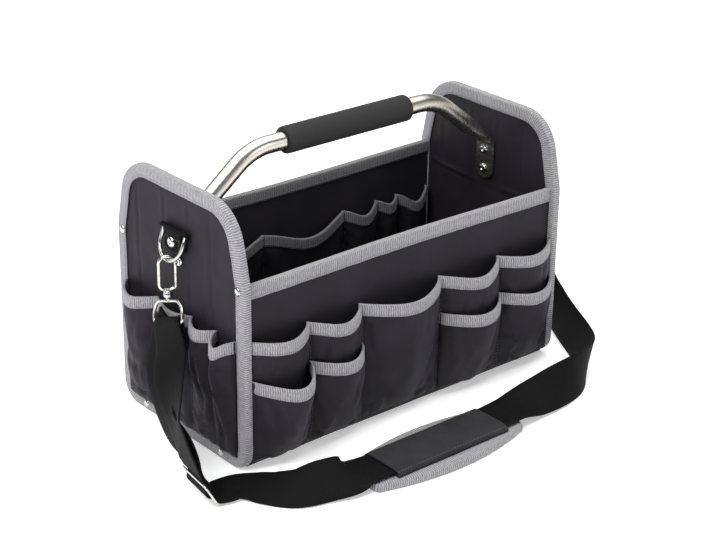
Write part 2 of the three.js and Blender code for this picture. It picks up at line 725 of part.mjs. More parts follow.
const HOOK_HALF = HOOK_EYE_WIDTH / 2 + HOOK_WIRE / 2;
const GATE_PIVOT_DOWN = HOOK_NOSE + GAP + GATE_WIRE / 2 + GATE_LENGTH;
const BARREL_TOP_DOWN = HOOK_EYE_HEIGHT + HOOK_WIRE / 2;

function hookBody(side) {
  const frame = hookFrame(side);
  const radius = HOOK_HALF;
  const points = [inHook(frame, -radius, HOOK_NOSE)];
  for (let i = 0; i <= 8; i += 1) {
    const angle = Math.PI * (1 - i / 8);
    const rise = (radius - HOOK_WIRE / 2) - radius * Math.sin(angle);
    points.push(inHook(frame, radius * Math.cos(angle), rise));
  }
  points.push(inHook(frame, radius, HOOK_EYE_HEIGHT * 0.6));
  for (let i = 0; i <= 3; i += 1) {
    const angle = (Math.PI / 2) * (i / 3);
    points.push(inHook(
      frame,
      radius - HOOK_CORNER + HOOK_CORNER * Math.cos(angle),
      HOOK_EYE_HEIGHT + HOOK_WIRE / 2 - HOOK_CORNER + HOOK_CORNER * Math.sin(angle),
    ));
  }
  points.push(inHook(frame, -radius + HOOK_CORNER, HOOK_EYE_HEIGHT + HOOK_WIRE / 2));
  points.push(inHook(frame, -radius + 1, HOOK_EYE_HEIGHT + HOOK_WIRE / 2 - 1.5));
  const stub = GATE_PIVOT_DOWN + GATE_WIRE / 2 + GAP + HOOK_WIRE / 2;
  points.push(inHook(frame, -radius, Math.max(stub - HOOK_WIRE / 2, 0)));
  const eye = wire(points, frame.normal, HOOK_WIRE / 2, false, 6);
  const barrel = new THREE.CylinderGeometry(BARREL_RADIUS, BARREL_RADIUS, BARREL_HEIGHT, 12);
  barrel.rotateX(Math.PI / 2);
  const middle = inHook(frame, 0, BARREL_TOP_DOWN + BARREL_HEIGHT / 2);
  barrel.translate(middle.x, middle.y, middle.z);
  const bore = new THREE.CylinderGeometry(POST_RADIUS + GAP, POST_RADIUS + GAP, BARREL_HEIGHT, 10);
  bore.rotateX(Math.PI / 2);
  bore.translate(middle.x, middle.y, middle.z - 3);
  return cut(join([eye, barrel]), [bore]);
}

function hookGate(side) {
  const frame = hookFrame(side);
  const points = [
    inHook(frame, -HOOK_HALF, GATE_PIVOT_DOWN + 0.35 * GATE_WIRE),
    inHook(frame, -HOOK_HALF, GATE_PIVOT_DOWN),
    inHook(frame, -HOOK_HALF, GATE_PIVOT_DOWN - GATE_LENGTH),
  ];
  return wire(points, frame.normal, GATE_WIRE / 2, false, 6);
}

const LOOP_TOP_DOWN = BARREL_TOP_DOWN + BARREL_HEIGHT + LOOP_NECK + LOOP_WIRE_RADIUS;
const LOOP_HALF = WEBBING / 2 + GAP + LOOP_CORNER;
const LOOP_ROLL = THREE.MathUtils.degToRad(20);
const LOOP_LEAN = THREE.MathUtils.degToRad(15);

// The loop lies flat to the end panel and leans with the pull of the webbing
function loopPoint(side, across, down) {
  const top = inHook(hookFrame(side), 0, LOOP_TOP_DOWN);
  const c = Math.cos(LOOP_ROLL);
  const s = -side * Math.sin(LOOP_ROLL);
  const out = side * down * Math.sin(LOOP_LEAN);
  const low = down * Math.cos(LOOP_LEAN);
  return new THREE.Vector3(top.x + out, top.y + across * c - low * s, top.z - across * s - low * c);
}

function swivelLoop(side) {
  const corners = [
    { across: -1, down: 0, radius: LOOP_SHOULDER, start: 1 },
    { across: 1, down: 0, radius: LOOP_SHOULDER, start: 1.5 },
    { across: 1, down: 1, radius: LOOP_CORNER, start: 0 },
    { across: -1, down: 1, radius: LOOP_CORNER, start: 0.5 },
  ];
  const points = corners.flatMap(({ across, down, radius, start }) => [0, 1, 2, 3].map((step) => {
    const angle = Math.PI * (start + step / 6);
    return loopPoint(
      side,
      across * (LOOP_HALF - radius) + radius * Math.cos(angle),
      (down ? LOOP_HEIGHT - radius : radius) + radius * Math.sin(angle),
    );
  }));
  const level = loopPoint(side, 1, 0).sub(loopPoint(side, 0, 0));
  const steep = loopPoint(side, 0, 1).sub(loopPoint(side, 0, 0));
  const ring = wire(points, level.cross(steep).normalize(), LOOP_WIRE_RADIUS, true);
  const post = new THREE.CylinderGeometry(POST_RADIUS, POST_RADIUS, LOOP_POST, 8);
  post.rotateX(Math.PI / 2);
  const top = loopPoint(side, 0, 0);
  post.translate(top.x, top.y, top.z - 0.5 + LOOP_POST / 2);
  return join([ring, post]);
}

// Strap route: at is the middle of the webbing and across its width, towards the near edge on
// the floor. Columns are shares of half the bag's length, half its width and its rim height.
const LOOP_BAR_DOWN = LOOP_HEIGHT - LOOP_WIRE_RADIUS;
const SLIDER_ROUTE = {
  x: -1.2935, y: -1.061, z: 0.077, across: [-0.19, -0.98, 0.07], along: [0.47, -0.15, -0.87],
};
const STRAP_ROUTE = [
  { x: -1.2, y: -1.115, z: 0.016, across: [-0.22, -0.975, 0.03] },
  { x: -1.12, y: -1.13, z: 0.018, across: [-0.6, -0.8, 0] },
  { x: -1.055, y: -1.265, z: 0.027, across: [-0.82, -0.5, -0.14] },
  { x: -1.02, y: -1.41, z: 0.04, across: [-0.8, -0.5, -0.28] },
  { x: -0.945, y: -1.604, z: 0.057, across: [-0.44, -0.77, -0.45] },
  { x: -0.838, y: -1.701, z: 0.078, across: [-0.26, -0.74, -0.62] },
  { x: -0.774, y: -1.753, z: 0.086, across: [-0.3, -0.725, -0.616] },
  { x: -0.723, y: -1.777, z: 0.084, across: [-0.21, -0.84, -0.5] },
  { x: -0.654, y: -1.763, z: 0.071, across: [-0.08, -0.99, -0.08] },
  { x: -0.5, y: -1.765, z: 0.065, across: [-0.05, -1, 0] },
  { x: -0.17, y: -1.775, z: 0.0655, across: [0, -1, 0] },
  { x: 0.16, y: -1.77, z: 0.0655, across: [0, -1, 0] },
  { x: 0.32, y: -1.76, z: 0.067, across: [0, -1, -0.05] },
  { x: 0.46, y: -1.755, z: 0.068, across: [0.03, -0.9, -0.38] },
  { x: 0.64, y: -1.765, z: 0.088, across: [0.06, -0.68, -0.7] },
  { x: 0.81, y: -1.745, z: 0.11, across: [0.05, -0.25, -0.95] },
  { x: 0.965, y: -1.6, z: 0.113, across: [-0.2, 0.06, -0.96] },
  { x: 1.07, y: -1.3, z: 0.107, across: [-0.42, 0.08, -0.9] },
  { x: 1.19, y: -0.86, z: 0.108, across: [-0.42, 0.03, -0.9] },
  { x: 1.3, y: -0.46, z: 0.118, across: [-0.45, -0.06, -0.88] },
  { x: 1.37, y: -0.1, z: 0.17, across: [-0.5, -0.2, -0.84] },
  { x: 1.37, y: 0.18, z: 0.27, across: [-0.5, -0.45, -0.72] },
  { x: 1.29, y: 0.27, z: 0.4, across: [-0.4, -0.68, -0.52] },
  { x: 1.19, y: 0.2, z: 0.53, across: [-0.2, -0.88, -0.3] },
];
const DROP_OUTER = [
  { x: -1.145, y: -0.225, z: 0.574, across: [0.1, -0.9, 0.3] },
  { x: -1.2, y: -0.36, z: 0.49, across: [0.25, -0.82, 0.5] },
  { x: -1.255, y: -0.57, z: 0.4, across: [0, -0.7, 0.68] },
  { x: -1.31, y: -0.78, z: 0.31, across: [-0.25, -0.58, 0.77] },
  { x: -1.34, y: -0.96, z: 0.26, across: [-0.26, -0.8, 0.5] },
];
const DROP_INNER = [
  { x: -1.095, y: 0.03, z: 0.574, across: [0, -0.96, 0.28] },
  { x: -1.14, y: -0.05, z: 0.468, across: [0.15, -0.9, 0.35] },
  { x: -1.205, y: -0.275, z: 0.351, across: [0, -0.75, 0.6] },
  { x: -1.265, y: -0.56, z: 0.271, across: [-0.2, -0.65, 0.7] },
  { x: -1.305, y: -0.91, z: 0.25, across: [-0.24, -0.85, 0.4] },
];

function routePlace({ x, y, z, across }) {
  return {
    at: new THREE.Vector3((x * LENGTH) / 2, (y * WIDTH) / 2, z * RIM_HEIGHT),
    across: new THREE.Vector3(...across).normalize(),
  };
}

// Smooth route through the given places, with the width turned square to the way it runs
function smoothRibbon(places, thickness, width) {
  const line = new THREE.CatmullRomCurve3(places.map((p) => p.at), false, 'centripetal');
  const turns = new THREE.CatmullRomCurve3(places.map((p) => p.across), false, 'centripetal');
  const steps = STEPS_A_SPAN * (places.length - 1);
  const stations = [];
  for (let i = 0; i <= steps; i += 1) {
    const t = i / steps;
    const at = line.getPoint(t);
    const along = line.getTangent(t);
    const across = turns.getPoint(t);
    across.addScaledVector(along, -across.dot(along)).normalize();
    stations.push({ at, across, out: across.clone().cross(along).normalize(), width });
  }
  return ribbon(stations, thickness);
}

// Half turn of webbing over the loop's lower bar, from one side of it to the other
function barTurn(side, reverse) {
  const bar = loopPoint(side, 0, LOOP_BAR_DOWN);
  const across = loopPoint(side, 1, LOOP_BAR_DOWN).sub(bar);
  const away = new THREE.Vector3(side, 0, 0);
  const upward = loopPoint(side, 0, 0).sub(bar).normalize();
  const radius = LOOP_WIRE_RADIUS + GAP + WEBBING_THICKNESS / 2 + 0.4;
  const places = [0, 0.25, 0.5, 0.75, 1].map((share) => {
    const angle = Math.PI * share;
    return {
      at: bar.clone().addScaledVector(away, -radius * Math.cos(angle))
        .addScaledVector(upward, radius * Math.sin(angle)),
      across: across.clone().negate(),
    };
  });
  return reverse ? places.reverse() : places;
}

function sliderFrame() {
  const middle = routePlace(SLIDER_ROUTE);
  const along = new THREE.Vector3(...SLIDER_ROUTE.along).normalize();
  const across = middle.across.clone();
  across.addScaledVector(along, -across.dot(along)).normalize();
  const out = across.clone().cross(along).normalize();
  return { at: middle.at, along, across, out };
}

// Where the webbing weaves through the slider: over a bar, under the middle bar, over a bar
const SLIDER_PITCH = SLIDER_BAR + SLIDER_SLOT;
const WEAVE = SLIDER_THICKNESS / 2 + 2 * GAP + WEBBING_THICKNESS / 2;
const LEAD_IN = 1.6 * SLIDER_PITCH;
const END_LAYER = WEAVE + WEBBING_THICKNESS + 3 * GAP;

function inSlider(frame, along, out) {
  return {
    at: frame.at.clone().addScaledVector(frame.along, along).addScaledVector(frame.out, out),
    across: frame.across.clone(),
  };
}

function strapWebbing() {
  const frame = sliderFrame();
  const places = [
    inSlider(frame, SLIDER_BAR / 2, WEAVE),
    inSlider(frame, -SLIDER_BAR / 2, WEAVE),
    inSlider(frame, -SLIDER_PITCH, END_LAYER),
    inSlider(frame, -LEAD_IN, END_LAYER),
    ...DROP_INNER.map(routePlace).reverse(),
    ...barTurn(-1, false),
    ...DROP_OUTER.map(routePlace),
    inSlider(frame, -LEAD_IN, WEAVE),
    ...[-1, 0, 1].flatMap((bar) => [-1, 1].map((edge) => (
      inSlider(frame, bar * SLIDER_PITCH + (edge * SLIDER_BAR) / 2, bar === 0 ? -WEAVE : WEAVE)))),
    ...STRAP_ROUTE.map(routePlace),
    ...barTurn(1, true),
  ];
  return smoothRibbon(places, WEBBING_THICKNESS, WEBBING);
}

function strapSlider() {
  const frame = sliderFrame();
  const long = WEBBING + 2 * (GAP + SLIDER_PLAY + SLIDER_BAR * 0.7);
  const wide = 3 * SLIDER_BAR + 2 * SLIDER_SLOT;
  const plate = new THREE.BoxGeometry(long, wide, SLIDER_THICKNESS);
  const slots = [-1, 1].map((step) => {
    const room = WEBBING + 2 * (GAP + SLIDER_PLAY);
    const slot = new THREE.BoxGeometry(room, SLIDER_SLOT, 3 * SLIDER_THICKNESS);
    slot.translate(0, (step * SLIDER_PITCH) / 2, 0);
    return slot;
  });
  const body = cut(plate, slots);
  const turned = new THREE.Matrix4().makeBasis(frame.across, frame.along, frame.out);
  body.applyMatrix4(turned.setPosition(frame.at));
  return body;
}

// Shoulder pad: a leaf-shaped cushion lying on the floor under the webbing
function padHalfWidth(share) {
  return (PAD_WIDTH / 2) * (0.56 + 0.44 * Math.cos((Math.PI / 2) * share) ** 0.8);
}

function padOutline() {
  const half = PAD_LENGTH / 2 - TAPE_STACK;
  const points = [];
  const steps = 9;
  for (let i = 0; i <= steps; i += 1) {
    const share = -0.94 + (1.88 * i) / steps;
    points.push(new THREE.Vector2(half * share, -padHalfWidth(share) + TAPE_STACK));
  }
  const end = padHalfWidth(0.94) - TAPE_STACK;
  points.push(new THREE.Vector2(half, -0.75 * end), new THREE.Vector2(half, 0.75 * end));
  const far = points.slice(0, steps + 1).map((p) => new THREE.Vector2(p.x, -p.y)).reverse();
  points.push(...far);
  points.push(new THREE.Vector2(-half, 0.75 * end), new THREE.Vector2(-half, -0.75 * end));
  return points;
}

const PAD_BOTTOM = TAPE_STACK;

function padBase() {
  const base = new THREE.ExtrudeGeometry(new THREE.Shape(padOutline()), {
    depth: PAD_THICKNESS, bevelEnabled: false,
  });
  base.translate(PAD_X, PAD_Y, PAD_BOTTOM);
  return base;
}

function padTape() {
  const points = padOutline();
  const stations = points.map((point, i) => {
    const before = points[(i - 1 + points.length) % points.length];
    const after = points[(i + 1) % points.length];
    const along = after.clone().sub(before).normalize();
    return {
      edge: new THREE.Vector3(PAD_X + point.x, PAD_Y + point.y, PAD_BOTTOM + PAD_THICKNESS / 2),
      out: UP,
      down: new THREE.Vector3(-along.y, along.x, 0),
    };
  });
  return tape(stations, PAD_THICKNESS, PAD_TAPE_DROP, true);
}

// The sleeve is a flat tunnel over the webbing, open at both ends
function padSleeve() {
  const low = PAD_BOTTOM + PAD_THICKNESS + TAPE_STACK + GAP;
  const room = WEBBING_THICKNESS + SLEEVE_ROOM;
  const outer = SLEEVE_WIDTH / 2;
  const inner = outer - CLOTH;
  const high = low + 2 * CLOTH + room;
  const shape = new THREE.Shape([
    [-outer, low], [outer, low], [outer, high - 1], [outer - 3, high], [-outer + 3, high],
    [-outer, high - 1],
  ].map(([y, z]) => new THREE.Vector2(y, z)));
  const tunnel = [
    [-inner, low + CLOTH], [inner, low + CLOTH], [inner, high - CLOTH], [-inner, high - CLOTH],
  ].map(([y, z]) => new THREE.Vector2(y, z));
  shape.holes.push(new THREE.Path(tunnel));
  const sleeve = new THREE.ExtrudeGeometry(shape, { depth: SLEEVE_LENGTH, bevelEnabled: false });
  sleeve.rotateX(Math.PI / 2);
  sleeve.rotateZ(Math.PI / 2);
  sleeve.translate(PAD_X - SLEEVE_LENGTH / 2, PAD_Y, 0);
  return sleeve;
}

// Assembly
const tote = new THREE.Group();

function add(name, geometry, colour, group = tote) {
  const [tint, roughness, metalness] = COLOURS[colour];
  const material = new THREE.MeshStandardMaterial({ color: tint, roughness, metalness });
  const mesh = new THREE.Mesh(geometry, material);
  mesh.name = name;
  group.add(mesh);
  return mesh;
}

const shell = new THREE.Group();
tote.add(shell);
add('base_panel', basePanel(), 'cloth', shell);
add('front_panel', sideWall(-1), 'cloth', shell);
add('back_panel', sideWall(1), 'cloth', shell);
add('front_rim_binding', rimTape(-1), 'tape', shell);
add('back_rim_binding', rimTape(1), 'tape', shell);

const pockets = new THREE.Group();
tote.add(pockets);
for (const [name, row] of Object.entries(POCKET_ROWS)) {
  const cloths = ROW_CLOTHS[name];
  if (!cloths) add(`${name}_pockets`, pocketCloth(row), 'cloth', pockets);
  for (const [place, [first, end]] of Object.entries(cloths ?? {})) {
    add(`${name}_${place}_pockets`, pocketCloth(row, first, end), 'cloth', pockets);
  }
  add(`${name}_pocket_binding`, pocketTape(row), 'tape', pockets);
}

const handle = new THREE.Group();
tote.add(handle);
add('handle_tube', handleTube(), 'steel', handle);
add('foam_grip', foamGrip(), 'foam', handle);

for (const [end, side] of [['left', -1], ['right', 1]]) {
  const group = new THREE.Group();
  tote.add(group);
  add(`${end}_end_panel`, endPanel(side), 'cloth', group);
  add(`${end}_end_binding`, endTape(side), 'tape', group);
  const plateFace = side * (PANEL_INNER - GAP - PLATE_THICKNESS - GAP);
  const tabFace = side * (TAB_FRONT + TAB_LAYER / 2 + GAP);
  const panelFace = side * (LENGTH / 2 + GAP);
  add(`${end}_upper_bolt`, fastener(BOLT_HEAD_RADIUS, BOLT_HEAD_RISE, BOLT_SHANK_RADIUS, true,
    tabFace, plateFace, side, 0, UPPER_BOLT_HEIGHT), 'chrome', group);
  add(`${end}_lower_bolt`, fastener(BOLT_HEAD_RADIUS, BOLT_HEAD_RISE, BOLT_SHANK_RADIUS, true,
    panelFace, plateFace, side, 0, BOLT_HEIGHT), 'chrome', group);
  RIVET_PLACES.forEach(({ y, z }, number) => {
    const face = side * (LENGTH / 2 + TAPE_STACK + GAP);
    const depth = side * (LENGTH / 2 - RIVET_DEPTH);
    add(`${end}_rivet_${number + 1}`, fastener(RIVET_HEAD_RADIUS, RIVET_HEAD_RISE,
      RIVET_SHANK_RADIUS, false, face, depth, side, y, z), 'chrome', group);
  });
  add(`${end}_ring_tab`, ringTab(side), 'webbing', group);
  add(`${end}_d_ring`, dRing(side), 'chrome', group);
  add(`${end}_hook_body`, hookBody(side), 'chrome', group);
  add(`${end}_hook_gate`, hookGate(side), 'chrome', group);
  add(`${end}_swivel_loop`, swivelLoop(side), 'chrome', group);
}

const strap = new THREE.Group();
tote.add(strap);
add('strap_webbing', strapWebbing(), 'webbing', strap);
add('strap_slider', strapSlider(), 'chrome', strap);
add('pad_base', padBase(), 'cloth', strap);
add('pad_binding', padTape(), 'tape', strap);
add('pad_sleeve', padSleeve(), 'cloth', strap);

export default tote;
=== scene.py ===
"""Open top tool tote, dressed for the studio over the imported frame.

Lengths are in millimetres in the object's own frame: X along the bag, -Y to the front, Z up.
They turn to metres where a mesh is made.
"""
import logging
import math
from dataclasses import dataclass
from enum import Enum
from typing import Optional, Sequence

import bpy
import numpy as np
from mathutils import Matrix, noise


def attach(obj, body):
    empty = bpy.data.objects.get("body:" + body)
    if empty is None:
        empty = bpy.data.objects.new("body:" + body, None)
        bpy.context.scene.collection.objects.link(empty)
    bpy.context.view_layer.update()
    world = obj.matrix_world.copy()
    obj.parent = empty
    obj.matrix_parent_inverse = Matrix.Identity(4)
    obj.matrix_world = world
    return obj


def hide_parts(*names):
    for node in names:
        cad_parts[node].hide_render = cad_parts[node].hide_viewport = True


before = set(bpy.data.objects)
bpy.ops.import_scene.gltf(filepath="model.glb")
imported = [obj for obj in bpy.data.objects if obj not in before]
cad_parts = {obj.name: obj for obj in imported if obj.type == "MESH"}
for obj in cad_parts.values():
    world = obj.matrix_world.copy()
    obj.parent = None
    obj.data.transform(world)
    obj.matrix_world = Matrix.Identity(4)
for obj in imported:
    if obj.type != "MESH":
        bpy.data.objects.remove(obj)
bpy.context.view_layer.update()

LOG = logging.getLogger("tote")
MM = 0.001
PHOTO_WIDTH = 716


class Body(Enum):
    """The bodies of the frame that a piece can ride on."""

    TOTE = "tote"
    LEFT_GATE = "left_gate"
    RIGHT_GATE = "right_gate"


class Slot(Enum):
    """The record's material slots."""

    CLOTH = "cloth"
    TAPE = "tape"
    WEBBING = "webbing"
    STEEL = "steel"
    FOAM = "foam"
    CHROME = "chrome"


@dataclass(frozen=True)
class BagSizes:
    """The tote's own sizes, the same as in the solid model."""

    length: float = 400.0
    width: float = 204.0
    rim_height: float = 188.0
    end_height: float = 263.0
    wall: float = 5.0
    end_wall: float = 6.0
    base_wall: float = 5.0
    base_edge_radius: float = 9.0
    edge_proud: float = 7.0
    rim_bow: float = 4.0
    gap: float = 0.3
    cloth: float = 1.4
    tape: float = 1.0
    pocket_tape_drop: float = 11.0
    rim_tape_drop: float = 12.0
    end_tape_drop: float = 12.0
    end_shoulder: float = 16.0
    end_top_radius: float = 42.0
    end_foot_radius: float = 20.0
    bolt_height: float = 183.0
    bolt_spacing: float = 21.0
    plate_thickness: float = 4.0
    webbing: float = 42.0
    webbing_thickness: float = 1.6

    @property
    def panel_inner(self) -> float:
        """Inner face of an end panel.

        Returns:
            Its x in mm.
        """
        return self.length / 2 - self.end_wall

    @property
    def tape_stack(self) -> float:
        """Tape and the clearance under it.

        Returns:
            Their height in mm.
        """
        return self.gap + self.tape

    @property
    def seated_end(self) -> float:
        """Where the long walls stop, just inside the end panels' tape.

        Returns:
            The x in mm.
        """
        return self.panel_inner - self.tape_stack - self.gap

    @property
    def face_y(self) -> float:
        """Outer face of a long wall.

        Returns:
            Its y in mm.
        """
        return self.width / 2 - self.edge_proud

    @property
    def wall_bottom(self) -> float:
        """Lower edge of a long wall.

        Returns:
            Its z in mm.
        """
        return self.base_edge_radius + self.gap

    @property
    def wall_top(self) -> float:
        """Upper edge of a long wall, under its tape.

        Returns:
            Its z in mm.
        """
        return self.rim_height - self.tape_stack

    @property
    def lift(self) -> float:
        """How far a pocket's cloth lies off its wall where it is sewn down.

        Returns:
            The distance in mm.
        """
        return self.cloth / 2 + self.tape_stack + self.gap

    @property
    def end_clear_y(self) -> float:
        """Half width of an end panel inside its tape.

        Returns:
            The half width in mm.
        """
        return self.width / 2 - self.end_tape_drop - self.tape_stack - self.gap

    @property
    def end_clear_z(self) -> float:
        """Height where an end panel's face starts above its tape.

        Returns:
            The height in mm.
        """
        return self.end_tape_drop + self.tape_stack + self.gap


BAG = BagSizes()
STITCH_LIFT = 0.1
POCKET_STITCH_INSET = 2.2
RIM_STITCH_INSET = 2.4


# Small numeric helpers

def stance(right: np.ndarray, up: np.ndarray, back: np.ndarray, place: np.ndarray) -> Matrix:
    """The matrix of a camera or lamp.

    Args:
        right: its unit X axis.
        up: its unit Y axis.
        back: its unit Z axis.
        place: where it stands, in metres.

    Returns:
        The world matrix.
    """
    return Matrix([[right[k], up[k], back[k], place[k]] for k in range(3)] + [[0, 0, 0, 1]])


def vec(*parts: float) -> np.ndarray:
    """Array from numbers.

    Args:
        parts: the components.

    Returns:
        The float array.
    """
    return np.array(parts, dtype=float)


def unit(v: np.ndarray) -> np.ndarray:
    """Scale vectors to length one.

    Args:
        v: one vector or rows of vectors.

    Returns:
        The same with length one.
    """
    return v / np.maximum(np.linalg.norm(v, axis=-1, keepdims=True), 1e-9)


def smoothstep(x: float, low: float, high: float) -> float:
    """Smooth ramp from 0 at low to 1 at high.

    Args:
        x: the value.
        low: where the ramp starts.
        high: where it ends.

    Returns:
        A number from 0 to 1.
    """
    t = min(max((x - low) / (high - low), 0.0), 1.0)
    return t * t * (3 - 2 * t)


def waviness(x: float, y: float, z: float, size: float, seed: float = 0.0) -> float:
    """Soft fixed noise from -1 to 1.

    Args:
        x: first coordinate in mm.
        y: second coordinate in mm.
        z: third coordinate in mm.
        size: feature size in mm.
        seed: an offset that gives another pattern.

    Returns:
        The noise there.
    """
    return noise.noise((x / size + seed, y / size - seed, z / size + 2 * seed))


def bow_at(x: float, z: float) -> float:
    """Inward bow of the long walls, greatest at the middle of the rim.

    Args:
        x: place along the bag.
        z: height.

    Returns:
        The bow in mm.
    """
    level = (z - BAG.wall_bottom) / (BAG.wall_top - BAG.wall_bottom)
    return BAG.rim_bow * math.cos(math.pi * x / BAG.length) ** 2 * min(max(level, 0.0), 1.0) ** 3


class Route:
    """Smooth curve through places, with the spacing that suits uneven places."""

    def __init__(self, places: Sequence[np.ndarray]) -> None:
        """Keep the places.

        Args:
            places: points or vectors, in order.
        """
        self.places = [np.asarray(p, float) for p in places]

    def at(self, t: float) -> np.ndarray:
        """The curve's point.

        Args:
            t: from 0 at the first place to 1 at the last.

        Returns:
            The point there.
        """
        p = self.places
        last = len(p) - 1
        run = last * t
        i = min(int(math.floor(run)), last - 1)
        w = run - i
        before = p[i - 1] if i > 0 else 2 * p[0] - p[1]
        after = p[i + 2] if i + 2 <= last else 2 * p[last] - p[last - 1]
        a, b = p[i], p[i + 1]
        d0, d1, d2 = (float(np.sum((v - u) ** 2)) ** 0.25 for u, v in
                      ((before, a), (a, b), (b, after)))
        d1 = d1 if d1 > 1e-4 else 1.0
        d0 = d0 if d0 > 1e-4 else d1
        d2 = d2 if d2 > 1e-4 else d1
        start = ((a - before) / d0 - (b - before) / (d0 + d1) + (b - a) / d1) * d1
        end = ((b - a) / d1 - (after - a) / (d1 + d2) + (after - b) / d2) * d1
        return (a * (2 * w**3 - 3 * w**2 + 1) + start * (w**3 - 2 * w**2 + w)
                + b * (-2 * w**3 + 3 * w**2) + end * (w**3 - w**2))

    def heading(self, t: float) -> np.ndarray:
        """The way the curve runs.

        Args:
            t: from 0 to 1.

        Returns:
            The unit direction there.
        """
        step = 1e-4
        return unit(self.at(min(t + step, 1.0)) - self.at(max(t - step, 0.0)))


# Mesh makers

def new_piece(name: str, points: np.ndarray, faces: Sequence[Sequence[int]],
              corners: Optional[np.ndarray] = None) -> bpy.types.Object:
    """Make a mesh object.

    Args:
        name: the piece's name.
        points: rows of x, y, z in mm.
        faces: lists of point numbers.
        corners: one (u, v) in mm for each face corner, in the faces' order.

    Returns:
        The object, linked and smooth.
    """
    mesh = bpy.data.meshes.new(name)
    mesh.from_pydata((np.asarray(points, float) * MM).tolist(), [], [list(f) for f in faces])
    if corners is not None:
        layer = mesh.uv_layers.new(name="UVMap")
        layer.data.foreach_set("uv", (np.asarray(corners, np.float32) * MM).ravel())
    mesh.shade_smooth()
    mesh.update()
    piece = bpy.data.objects.new(name, mesh)
    bpy.context.scene.collection.objects.link(piece)
    return piece


def coordinates(mesh: bpy.types.Mesh) -> np.ndarray:
    """Read a mesh's vertices.

    Args:
        mesh: the mesh.

    Returns:
        Rows of x, y, z in metres.
    """
    co = np.empty(len(mesh.vertices) * 3)
    mesh.vertices.foreach_get("co", co)
    return co.reshape(-1, 3)


def shift(piece: bpy.types.Object, places: np.ndarray) -> None:
    """Put a piece's vertices at new places.

    Args:
        piece: the piece.
        places: rows of x, y, z in metres.
    """
    piece.data.vertices.foreach_set("co", places.ravel())
    piece.data.update()


def capped(move: np.ndarray, most: float) -> np.ndarray:
    """Limit how far vertices move.

    Args:
        move: rows of moves in metres.
        most: the longest move allowed, in mm.

    Returns:
        The moves, none longer than that.
    """
    far = np.linalg.norm(move, axis=1, keepdims=True)
    return move * np.minimum(1, most * MM / np.maximum(far, 1e-9))


def run_cloth(steps: int) -> None:
    """Run the scene's cloth through its first frames.

    Args:
        steps: how many frames.
    """
    for number in range(1, steps + 1):
        bpy.context.scene.frame_set(number)


def map_axes(piece: bpy.types.Object, first: int, second: int) -> None:
    """Give a flat piece a UV map straight along two of its axes.

    Args:
        piece: the piece.
        first: the axis for U, 0 to 2.
        second: the axis for V.
    """
    mesh = piece.data
    index = np.empty(len(mesh.loops), dtype=np.int64)
    mesh.loops.foreach_get("vertex_index", index)
    uv = coordinates(mesh)[index][:, [first, second]]
    mesh.uv_layers["UVMap"].data.foreach_set("uv", uv.astype(np.float32).ravel())


def turn_outward(piece: bpy.types.Object) -> bpy.types.Object:
    """Flip a closed mesh whose faces point inwards.

    Args:
        piece: the closed piece.

    Returns:
        The same piece.
    """
    mesh = piece.data
    mesh.calc_loop_triangles()
    t = np.empty(len(mesh.loop_triangles) * 3, dtype=np.int64)
    mesh.loop_triangles.foreach_get("vertices", t)
    a, b, c = (coordinates(mesh)[t.reshape(-1, 3)[:, k]] for k in range(3))
    if np.einsum("ij,ij->i", a, np.cross(b, c)).sum() < 0:
        mesh.flip_normals()
    return piece


def lattice(name: str, rows: np.ndarray, wrap_rows: bool = False, wrap_ring: bool = False,
            caps: bool = False) -> bpy.types.Object:
    """Make a surface through a lattice of points.

    Args:
        name: the piece's name.
        rows: points in mm, as [row][place in row][xyz].
        wrap_rows: join the last row to the first.
        wrap_ring: join the last place of each row to its first.
        caps: close the two end rows with a face each.

    Returns:
        The object, with a UV map in metres: U along the rows, V within a row.
    """
    rows = np.asarray(rows, float)
    n, m = rows.shape[:2]
    along = np.linalg.norm(np.diff(np.concatenate([rows, rows[:1]]), axis=0), axis=2).mean(axis=1)
    within = np.linalg.norm(np.diff(np.concatenate([rows, rows[:, :1]], axis=1), axis=1),
                            axis=2).mean(axis=0)
    u = np.concatenate([[0], np.cumsum(along)])
    v = np.concatenate([[0], np.cumsum(within)])
    faces, corners = [], []
    for i in range(n if wrap_rows else n - 1):
        k = (i + 1) % n
        for j in range(m if wrap_ring else m - 1):
            q = (j + 1) % m
            faces.append((i * m + j, i * m + q, k * m + q, k * m + j))
            corners += [(u[i], v[j]), (u[i], v[j + 1]), (u[i + 1], v[j + 1]), (u[i + 1], v[j])]
    if caps:
        faces.append(tuple(range(m - 1, -1, -1)))
        corners += [(rows[0, j, 1], rows[0, j, 2]) for j in range(m - 1, -1, -1)]
        faces.append(tuple((n - 1) * m + j for j in range(m)))
        corners += [(rows[-1, j, 1], rows[-1, j, 2]) for j in range(m)]
    piece = new_piece(name, rows.reshape(-1, 3), faces, np.array(corners))
    return turn_outward(piece) if wrap_ring and (caps or wrap_rows) else piece


def settle(piece: bpy.types.Object) -> bpy.types.Object:
    """Turn a piece's modifiers into its mesh.

    Args:
        piece: the piece with its modifiers.

    Returns:
        The same piece without modifiers.
    """
    seen = piece.evaluated_get(bpy.context.evaluated_depsgraph_get())
    mesh = bpy.data.meshes.new_from_object(seen)
    old = piece.data
    piece.modifiers.clear()
    piece.data = mesh
    bpy.data.meshes.remove(old)
    mesh.name = piece.name
    mesh.shade_smooth()
    return piece


def thicken(piece: bpy.types.Object, thickness: float) -> bpy.types.Object:
    """Give a surface its wall, half to each side.

    Args:
        piece: an open surface.
        thickness: the wall in mm.

    Returns:
        The same piece as a closed shell.
    """
    wall = piece.modifiers.new("wall", "SOLIDIFY")
    wall.thickness = thickness * MM
    wall.offset = 0
    wall.use_even_offset = False
    return turn_outward(settle(piece))


